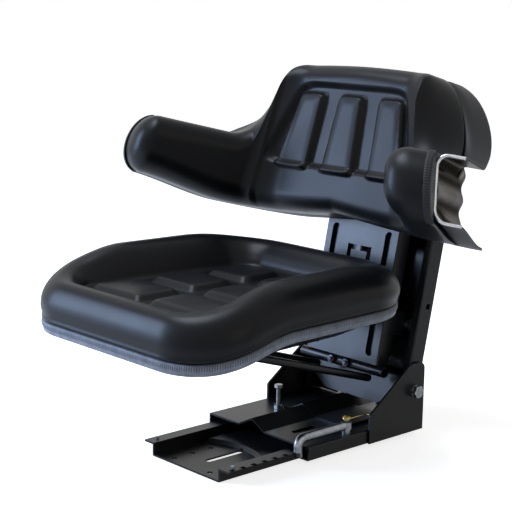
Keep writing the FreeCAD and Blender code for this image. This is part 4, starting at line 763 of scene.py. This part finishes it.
print("backrest %.0f mm tall in the middle" % (1000 * (upper_edge(0) - lower_edge(0))))

# %% [markdown]
# The pad is the same foam and skin as the seat. One rounded block is drawn at each place along
# the wall: soft in front, sharper behind, and densely set with points on its face, where the
# hollow and the raised pads are pressed.

# %% Blocks of the backrest pad
FACE_POINTS, ARC_POINTS, BACK_ARC, SIDE_POINTS = 96, 14, 4, 6


def quarter(centre_depth, centre_height, radius, start, count):
    """A quarter circle of (depth, height) points from a starting angle in degrees."""
    angles = [math.radians(start + 90 * step / count) for step in range(count + 1)]
    return [(centre_depth + radius * math.cos(a), centre_height + radius * math.sin(a))
            for a in angles]


def block(distance, share):
    """Section as (depth, height), from the back of the foot round to the back of the top."""
    top, foot = upper_edge(distance), lower_edge(distance)
    middle, half = (top + foot) / 2, (top - foot) / 2 * share
    thick = thickness(distance) * math.sqrt(share)
    along = min(abs(distance) / ARM_END, 1)
    front = min((28 + 10 * along) * MM, half * 0.9, thick * 0.6)
    back = min(4 * MM, half * 0.3, thick * 0.3)
    low, high = middle - half, middle + half
    sides = [back + (thick - front - back) * step / SIDE_POINTS for step in range(1, SIDE_POINTS)]
    points = quarter(back, low + back, back, 180, BACK_ARC)
    points += [(depth, low) for depth in sides]
    points += quarter(thick - front, low + front, front, 270, ARC_POINTS)
    for step in range(1, FACE_POINTS):
        points.append((thick, low + front + (high - low - 2 * front) * step / FACE_POINTS))
    points += quarter(thick - front, high - front, front, 0, ARC_POINTS)
    points += [(depth, high) for depth in reversed(sides)]
    points += quarter(back, high - back, back, 90, BACK_ARC)
    for step in range(1, SIDE_POINTS):
        points.append((0, high - back - (high - low - 2 * back) * step / SIDE_POINTS))
    return points


print(len(block(0, 1)), "points in a section")

# %% [markdown]
# The face is pressed in by a hollow, and three tapered pads, wide at the foot, are lifted out of
# it again. Their outlines are drawn on the flat face.

# %% Pads of the backrest
BACK_HOLLOW = [(-0.172, 0.452), (0.172, 0.452), (0.118, 0.598), (-0.118, 0.598)]
HOLLOW_DEPTH, PAD_LIFT, PAD_CROWN = 9 * MM, 10 * MM, 2 * MM
PAD_FOOT, PAD_TOP = (106 * MM, 39 * MM, 0.446), (88 * MM, 29 * MM, 0.581)


def back_pad(column):
    """Outline of one pad; each end is given by the pads' spacing, half width and height."""
    (foot_step, foot_half, low), (top_step, top_half, high) = PAD_FOOT, PAD_TOP
    foot, top = column * foot_step, column * top_step
    return [(foot - foot_half, low), (foot + foot_half, low),
            (top + top_half, high), (top - top_half, high)]


BACK_PADS = [back_pad(column) for column in (-1, 0, 1)]


def pressed(distance, height):
    """How far the face is pressed in at a place: the hollow, less the three pads in it."""
    hollow = inside(distance, height, BACK_HOLLOW, 9 * MM)
    pad = max(inside(distance, height, one, 4 * MM) for one in BACK_PADS)
    sunk = HOLLOW_DEPTH * eased((hollow + 2 * MM) / (12 * MM))
    lifted = PAD_LIFT * eased((pad + 1 * MM) / (7 * MM)) + PAD_CROWN * eased(pad / (20 * MM))
    return sunk - lifted


print(len(BACK_PADS), "pads")

# %% [markdown]
# The skin joins the blocks of all places, with ever smaller ones that close the tip of each arm.
# The back of the foam stays a hair's breadth away from the shell, as in the CAD model.

# %% Backrest cushion
WALL_PLACES = 330
TIP, TIP_STEPS = 34 * MM, 14
FOAM_GAP = 0.6 * MM
FACE_ENDS = 0.2

turns = [math.radians(6 * step) for step in range(1, TIP_STEPS + 1)]
tips = [(ARM_END + TIP * math.sin(turn), math.cos(turn)) for turn in turns]
stations = [(-distance, share) for distance, share in reversed(tips)]
stations += [(distance, 1.0) for distance in along_wall(WALL_PLACES)] + tips
rows = []
for distance, share in stations:
    row = []
    for depth, height in block(distance, share):
        front = eased((depth / thickness(distance) - 0.7) / 0.25)
        flat_x = wall_place(distance)[0] * narrowing(height)
        sink = pressed(flat_x, height) * front if abs(distance) < FACE_ENDS else 0
        row.append(leaned(distance, max(depth, FOAM_GAP) - sink, height))
    rows.append(row)
back_skin = finished(skin(rows), "backrest_cushion_skin", "black_vinyl", "backrest_cushion")
print("backrest cushion:", len(back_skin.data.polygons), "faces")

# %% [markdown]
# Where the pad's tip meets the steel, a black band wraps round it, pressed with cross ribs about
# 3 mm apart. A flat grid is laid over the tip, along its outer side and then round onto its end,
# and Solidify gives the band its thickness.

# %% Bands at the arm ends
BAND_RIBS, BAND_RIB = 40, 0.8 * MM
BAND_TURN = 9 * MM
BAND_SHEET = 0.9 * MM
BAND_CLEAR = 1 * MM


def over_tip(side, across, along):
    """A place on the band, from the steel's edge across to the pad's end and along its arc."""
    foot = lower_edge(ARM_END)
    middle, half = (ARM_CREST + foot) / 2, (ARM_CREST - foot) / 2 + BAND_CLEAR
    turn = math.radians(86) * (2 * along - 1)
    rib = BAND_RIB * abs(math.sin(math.pi * along * BAND_RIBS)) * eased(across * (1 - across) * 14)
    out = (TIP + BAND_CLEAR) * math.cos(turn) * min(across / 0.6, 1)
    end = eased((across - 0.5) / 0.5)
    depth = (BAND_TURN + BAND_CLEAR) * max(across - 0.6, 0) / 0.4 - BAND_CLEAR - rib * (1 - end)
    return leaned(side * (ARM_END + BAND_CLEAR + out + rib * end * math.cos(turn)), depth,
                  middle + (half + rib * end) * math.sin(turn))


for side_name, side in SIDES:
    fresh()
    bpy.ops.mesh.primitive_grid_add(x_subdivisions=14, y_subdivisions=BAND_RIBS * 6, size=1)
    band = bpy.context.object
    depths = []
    for vertex in band.data.vertices:
        along = vertex.co.y + 0.5
        # painted shade: the groove attribute darkens the band between two ribs
        depths.append(0.8 * (1 - abs(math.sin(math.pi * along * BAND_RIBS))) ** 2)
        vertex.co = over_tip(side, vertex.co.x + 0.5, along)
    grooved(band.data, depths)
    band.data.update()
    tip = over_tip(side, 0.9, 0.5)
    face = min(band.data.polygons, key=lambda one: (one.center - tip).length)
    outward = leaned(side * 1.2 * ARM_END, 0, 0.45) - leaned(side * ARM_END, 0, 0.45)
    if face.normal.dot(outward) < 0:
        band.data.flip_normals()
    shaped(band, "SOLIDIFY", thickness=BAND_SHEET, offset=-1)
    finished(smoothed(band, 50), side_name + "_arm_end_band", "black_trim", "arm_end_trims")
print("bands of", BAND_RIBS, "ribs")

# %% [markdown]
# The steel shell is pressed from 2 mm sheet. Three ribs along its wall stiffen it, and the press
# leaves them as one smooth wave, which shows as bright and dark bands. At top and foot the sheet
# is bent over into flanges, wider on the arms.

# %% Section of the shell
SHEET, CLEAR, BEND = 2 * MM, 2 * MM, 18 * MM
RIB_LEVEL, RIB_STEP, RIB_DEPTH, RIB_FADE = 0.438, 38 * MM, 5 * MM, 9 * MM
SHELL_FLANGE, ARM_FLANGE = 29 * MM, 42 * MM


def flange_width(distance):
    wider = eased((abs(distance) - SHOULDER[0] + SWELL_OVER) / SWELL_OVER)
    return SHELL_FLANGE + (ARM_FLANGE - SHELL_FLANGE) * wider


def wall_ends(distance):
    """Where the sheet's wall bends over at its foot and at its top."""
    return lower_edge(distance) + CLEAR + BEND, upper_edge(distance) - CLEAR - BEND


def ribbed(height, low, high):
    """Depth of the wave at a height; it fades out where the wall bends into its flanges."""
    away = abs(height - RIB_LEVEL) / RIB_STEP
    fade = eased((height - low) / RIB_FADE) * eased((high - height) / RIB_FADE)
    return RIB_DEPTH * fade * (0.5 + 0.5 * math.cos(2 * math.pi * away)) if away < 1.5 else 0


def shell_line(distance, inward):
    """One side of the sheet, from the lower flange's edge up to the upper one's."""
    wide, radius = flange_width(distance), BEND - inward
    low, high = wall_ends(distance)
    turns = [math.radians(15 * step) for step in range(7)]
    line = [(-wide, low - radius)]
    line += [(-BEND + radius * math.sin(t), low - radius * math.cos(t)) for t in turns]
    for step in range(1, 40):
        height = low + (high - low) * step / 40
        line.append((-inward - ribbed(height, low, high), height))
    line += [(-BEND + radius * math.cos(t), high + radius * math.sin(t)) for t in turns]
    return line + [(-wide, high + radius)]


print(len(shell_line(0, 0)), "points on each side of the sheet")

# %% [markdown]
# The sheet's front and back lines make one closed section, and the sections are joined along the
# wall. Painted shade lies in the valleys of the wave and in the bends.

# %% Shell of the backrest
rows, depths = [], []
for distance in along_wall(160):
    section = shell_line(distance, 0) + shell_line(distance, SHEET)[::-1]
    low, high = wall_ends(distance)
    rows.append([leaned(distance, depth, height) for depth, height in section])
    for depth, height in section:
        # painted shade: strong between the wave's ribs, about half on the rest of the sheet
        near = abs(height - RIB_LEVEL) < 1.5 * RIB_STEP
        fold = 1 - ribbed(height, low, high) / RIB_DEPTH if near else 0.5
        depths.append(0.92 * fold if depth > -10 * MM else 0.5)
shell = skin(rows, "sheet")
grooved(shell.data, depths)
finished(smoothed(shell, 50), "pressed_shell", "bare_steel", "backrest_shell")
print("shell:", len(shell.data.polygons), "faces")

# %% [markdown]
# Two strips of black PVC are pressed over the shell's flanges, at its top and at its foot, and
# hide the line where vinyl and steel meet. Many short steps keep their outline smooth.

# %% Strips over the flanges
STRIP_BEND, STRIP_THICK = 20 * MM, 1.7 * MM


def strip_section(distance, side):
    wide = flange_width(distance)
    edge = upper_edge(distance) if side > 0 else lower_edge(distance)
    centre = edge - side * STRIP_BEND
    inner = STRIP_BEND - STRIP_THICK
    turns = [math.radians(15 * step) for step in range(1, 7)]
    corners = [(-BEND + STRIP_BEND * math.cos(t), centre + side * STRIP_BEND * math.sin(t))
               for t in turns]
    corners += [(-wide, edge), (-wide, edge - side * STRIP_THICK)]
    return corners + [(-BEND + inner * math.cos(t), centre + side * inner * math.sin(t))
                      for t in reversed(turns)]


for name, side in (("upper", 1), ("lower", -1)):
    rows = [[leaned(distance, depth, height) for depth, height in strip_section(distance, side)]
            for distance in along_wall(180)]
    finished(smoothed(skin(rows), 35), name + "_edge_strip", "black_trim", name + "_edge_trim")
print("two strips of", len(rows), "steps")

# %% [markdown]
# The steel shell ends in a rolled edge: the sheet is turned back on itself into a smooth round
# lip that catches the light round the open end of each arm. A path follows the shell's section
# from flange to flange, and a round bevel makes it as thick as the lip.

# %% Rolled edges of the shell
ROLL, ROLL_INSET = 2.8 * MM, 3 * MM
ROLL_BEND = BEND - 1 * MM


def lip_line(side):
    top, foot = ARM_CREST - ROLL_INSET, lower_edge(ARM_END) + ROLL_INSET
    line = [(-ARM_FLANGE, top), (-ARM_FLANGE * 0.72, top)]
    for centre, first in ((top - BEND, 90), (foot + BEND, 0)):
        for step in range(7):
            turn = math.radians(first - 15 * step)
            line.append((-BEND + ROLL_BEND * math.cos(turn), centre + BEND * math.sin(turn)))
    line += [(-ARM_FLANGE * 0.72, foot), (-ARM_FLANGE, foot)]
    return [leaned(side * (ARM_END + 0.5 * MM), depth, height) for depth, height in line]


for side_name, side in SIDES:
    fresh()
    bpy.ops.curve.primitive_nurbs_path_add()
    lip = bpy.context.object
    lip.data.splines.clear()
    spline = lip.data.splines.new("POLY")
    line = lip_line(side)
    spline.points.add(len(line) - 1)
    for point, place in zip(spline.points, line):
        point.co = (*place, 1)
    lip.data.bevel_depth = ROLL
    lip.data.bevel_resolution = 4
    lip.data.use_fill_caps = True
    bpy.ops.object.convert(target="MESH")
    lip = bpy.context.object
    lip.data.polygons.foreach_set("use_smooth", [True] * len(lip.data.polygons))
    finished(lip, side_name + "_rolled_edge", "bare_steel", material=worn_edge)
print("two rolled edges,", len(lip.data.polygons), "faces each")

# %% [markdown]
# A spring is a circle the size of the wire, which the Screw modifier sweeps up with one turn for
# each pitch. A straight wire is a cylinder with softened ends, and an eye is a torus.

# %% Forms of wire
def placed():
    bpy.ops.object.transform_apply()
    return bpy.context.object


def wound(radius, wire, low, high, turns, centre):
    """Coil about an upright axis, its wire swept up a screw."""
    fresh()
    bpy.ops.mesh.primitive_circle_add(vertices=8, radius=wire, location=(radius, 0, low + wire),
                                      rotation=(math.pi / 2, 0, 0))
    coil = placed()
    shaped(coil, "SCREW", screw_offset=(high - low - 2 * wire) / turns, iterations=turns,
           steps=14, render_steps=14, use_smooth_shade=True)
    bpy.ops.object.mode_set(mode="EDIT")
    bpy.ops.mesh.select_all(action="SELECT")
    bpy.ops.mesh.remove_doubles(threshold=0.01 * MM)
    bpy.ops.mesh.fill_holes(sides=8)
    bpy.ops.mesh.normals_make_consistent(inside=False)
    bpy.ops.object.mode_set(mode="OBJECT")
    coil.data.transform(Matrix.Translation((centre[0], centre[1], 0)))
    return coil


def rod(radius, start, end):
    """Straight wire with softened ends between two points."""
    fresh()
    start, end = Vector(start), Vector(end)
    turned = (end - start).to_track_quat("Z", "Y").to_euler()
    bpy.ops.mesh.primitive_cylinder_add(vertices=16, radius=radius, depth=(end - start).length,
                                        location=(start + end) / 2, rotation=turned)
    bar = placed()
    shaped(bar, "BEVEL", width=radius * 0.3, segments=2)
    return smoothed(bar, 35)


def eye(radius, wire, place):
    fresh()
    bpy.ops.mesh.primitive_torus_add(major_radius=radius, minor_radius=wire, major_segments=28,
                                     minor_segments=8, location=place, rotation=(0, math.pi / 2, 0))
    ring = placed()
    bpy.ops.object.shade_smooth()
    return ring


print("coils, rods and eyes")

# %% [markdown]
# Two close-wound tension springs carry the sitter. Each ends in a straight bar across the last
# turn and a round eye over its pin. On the real seat the top eye stays with the tower and the
# bottom eye sinks with the seat; here each spring is one fixed mesh that rides on no body.

# %% Tension springs
TOWER = Matrix.Translation((0, 0.181, 0.080)) @ Matrix.Rotation(math.radians(-12.1), 4, "X")
ROLLER_LINE = 3.25 * MM
WIRE, COIL = 1.9 * MM, 12 * MM
COIL_LOW, COIL_HIGH = 114.1 * MM, 374.9 * MM
LOWER_EYE, UPPER_EYE = (7.2 * MM, 105 * MM), (8.2 * MM, 385 * MM)
BAR = 10 * MM

for side_name, side in SIDES:
    x = side * 38 * MM
    turns = round((COIL_HIGH - COIL_LOW) / (2 * WIRE)) - 1
    pieces = [wound(COIL - WIRE, WIRE, COIL_LOW, COIL_HIGH, turns, (x, ROLLER_LINE))]
    for radius, level in (LOWER_EYE, UPPER_EYE):
        pieces.append(eye(radius, WIRE, (x, ROLLER_LINE, level)))
    for level in (COIL_LOW + WIRE, COIL_HIGH - WIRE):
        pieces.append(rod(WIRE, (x - BAR, ROLLER_LINE, level), (x + BAR, ROLLER_LINE, level)))
    spring = joined(pieces)
    spring.data.transform(TOWER)
    finished(spring, side_name + "_wound_spring", "spring_steel", side_name + "_tension_spring",
             body=None)
    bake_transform(spring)
print("springs:", len(spring.data.polygons), "faces each")

# %% [markdown]
# A small torsion spring of yellow wire pulls the lever back into its notches. It is wound round
# the lever's pin like the big springs, and one leg runs back to the bracket and turns into it.

# %% Return spring
PIN = (105 * MM, 40 * MM)
LEG, LOOP = 0.75 * MM, 5.9 * MM
LOOP_LOW, LOOP_HIGH = 54.4 * MM, 60.2 * MM
BRACKET = 119.4 * MM

coil = wound(LOOP, LEG, LOOP_LOW, LOOP_HIGH, 3, PIN)
reach, back = PIN[0] + LOOP, PIN[1] + 40 * MM
level = (LOOP_LOW + LOOP_HIGH) / 2
leg = rod(LEG, (reach, PIN[1], level), (reach, back, level))
foot = rod(LEG, (reach, back, level), (BRACKET, back, level))
knee = rod(LEG * 0.98, (reach, back - LEG, level), (reach + LEG, back, level))
return_spring = joined([coil, leg, foot, knee])
finished(return_spring, "lever_torsion_spring", "yellow_zinc", "lever_return_spring",
         body="carriage")
print("torsion spring:", len(return_spring.data.polygons), "faces")

# %% [markdown]
# Bolt heads and nuts are cold-forged hexagons whose corners a cone has turned down. A round blank
# is pushed out to the hexagon, and each corner drops by the slope of that cone, which leaves the
# small arcs of a real nut. A thread is a ring drawn up in steps, wide and narrow in turn.

# %% Hexagons and threads
CONE_SLOPE = 0.577
THREAD_CORE = 0.86


def hexagon(flats, height):
    fresh()
    bpy.ops.mesh.primitive_cylinder_add(vertices=36, radius=flats / 2, depth=height,
                                        end_fill_type="NGON", location=(0, 0, height / 2))
    blank = placed()
    bpy.ops.object.mode_set(mode="EDIT")
    bpy.ops.mesh.select_mode(type="FACE")
    bpy.ops.mesh.select_all(action="DESELECT")
    shape = bmesh.from_edit_mesh(blank.data)
    for face in shape.faces:
        face.select_set(abs(face.normal.z) > 0.9)
    bmesh.update_edit_mesh(blank.data)
    bpy.ops.mesh.inset(thickness=flats * 0.03, use_individual=True)
    shape = bmesh.from_edit_mesh(blank.data)
    for corner in shape.verts:
        radius = corner.co.xy.length
        if radius > flats * 0.49:
            turn = math.atan2(corner.co.y, corner.co.x) % (math.pi / 3) - math.pi / 6
            reach = flats / 2 / math.cos(turn)
            drop = (reach - flats * 0.47) * CONE_SLOPE
            corner.co.x *= reach / radius
            corner.co.y *= reach / radius
            corner.co.z += -drop if corner.co.z > height / 2 else drop
    bmesh.update_edit_mesh(blank.data)
    return smoothed(blank, 25)


def screw_end(radius, length, pitch):
    fresh()
    bpy.ops.mesh.primitive_circle_add(vertices=18, radius=radius * THREAD_CORE, fill_type="NGON")
    stud = bpy.context.object
    bpy.ops.object.mode_set(mode="EDIT")
    for step in range(2 * round(length / pitch)):
        grow = 1 / THREAD_CORE if step % 2 == 0 else THREAD_CORE
        bpy.ops.mesh.extrude_region_move(TRANSFORM_OT_translate={"value": (0, 0, pitch / 2)})
        bpy.ops.transform.resize(value=(grow, grow, 1))
    bpy.ops.mesh.select_all(action="SELECT")
    bpy.ops.mesh.normals_make_consistent(inside=False)
    return smoothed(stud, 20)


print("hexagons and threads")

# %% [markdown]
# Where each fastener sits is read from the node that it stands for, solid by solid.

# %% Seats of the fasteners
def solids_of(node):
    """The corners of each separate solid in a CAD node."""
    shape = bmesh.new()
    shape.from_mesh(frame["nodes"][node].data)
    bmesh.ops.remove_doubles(shape, verts=shape.verts, dist=0.01 * MM)
    left, groups = set(shape.verts), []
    while left:
        chain, group = [left.pop()], []
        while chain:
            corner = chain.pop()
            group.append(corner.co.copy())
            for edge in corner.link_edges:
                other = edge.other_vert(corner)
                if other in left:
                    left.remove(other)
                    chain.append(other)
        groups.append(group)
    shape.free()
    return groups


def seat_of(group, axis):
    """The middle of a solid's inner face, its turn and its height, for an axis that points out."""
    turned = axis.normalized().to_track_quat("Z", "Y").to_matrix()
    local = [turned.transposed() @ point for point in group]
    lows = [min(p[i] for p in local) for i in range(3)]
    highs = [max(p[i] for p in local) for i in range(3)]
    middle = turned @ Vector(((lows[0] + highs[0]) / 2, (lows[1] + highs[1]) / 2, lows[2]))
    return Matrix.Translation(middle) @ turned.to_4x4(), highs[2] - lows[2]


print("tower bolts:", len(solids_of("tower_bolts")), "solids")

# %% [markdown]
# Each row is one kind of fastener: its node, its width across flats, the way its axis points out
# of the sheet, and the body it rides on. The cross tube's nuts get the dark spring steel as painted
# shade and show the ends of their threads, and all the others are bright zinc.

# %% Fasteners in place
UP, SIDEWAYS = Vector((0, 0, 1)), Vector((1, 0, 0))
FORWARD = TOWER.to_3x3() @ Vector((0, -1, 0))
STUD_RADIUS, STUD_LENGTH, STUD_PITCH = 4 * MM, 3 * MM, 1.0 * MM
KINDS = (("tower_bolts", 19 * MM, SIDEWAYS, "carriage"),
         ("tower_nuts", 16 * MM, -SIDEWAYS, "carriage"),
         ("cross_tube_nuts", 13 * MM, FORWARD, "suspended_frame"),
         ("pan_bolts", 13 * MM, -UP, "suspended_frame"),
         ("backrest_bolts", 13 * MM, -FORWARD, "suspended_frame"),
         ("stop_bolt_nut", 13 * MM, UP, "carriage"))
for node, flats, axis, body in KINDS:
    # painted shade: the cross tube's nuts take the dark spring steel in place of zinc
    painted_shade_nuts = node == "cross_tube_nuts"
    made = []
    for group in solids_of(node):
        mirrored = abs(axis.x) > 0.9 and sum(p.x for p in group) < 0
        place, height = seat_of(group, -axis if mirrored else axis)
        made.append(hexagon(flats, height))
        made[-1].data.transform(place)
        if painted_shade_nuts:
            made.append(screw_end(STUD_RADIUS, STUD_LENGTH, STUD_PITCH))
            made[-1].data.transform(place @ Matrix.Translation((0, 0, height)))
    finished(joined(made), "forged_" + node, "bright_zinc", node, body=body,
             material=finishes["spring_steel" if painted_shade_nuts else "bright_zinc"])
    print(node, "-", len(made), "forgings")

# %% [markdown]
# The bolt that stops the seat from sinking too far stands head up on the carriage, and its
# thread shows over its whole length. The head is the same forged hexagon.

# %% Stop bolt
low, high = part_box("stop_bolt")
HEAD = 5.5 * MM
shank_length = high.z - low.z - HEAD
shank = screw_end(4 * MM, shank_length, 1.25 * MM)
head = hexagon(13 * MM, HEAD)
head.data.transform(Matrix.Translation((0, 0, shank_length)))
stop = joined([shank, head])
stop.data.transform(Matrix.Translation(((low.x + high.x) / 2, (low.y + high.y) / 2, low.z)))
finished(stop, "threaded_stop_bolt", "bright_zinc", "stop_bolt", body="carriage")
print("stop bolt %.0f mm long" % (1000 * (high.z - low.z)))
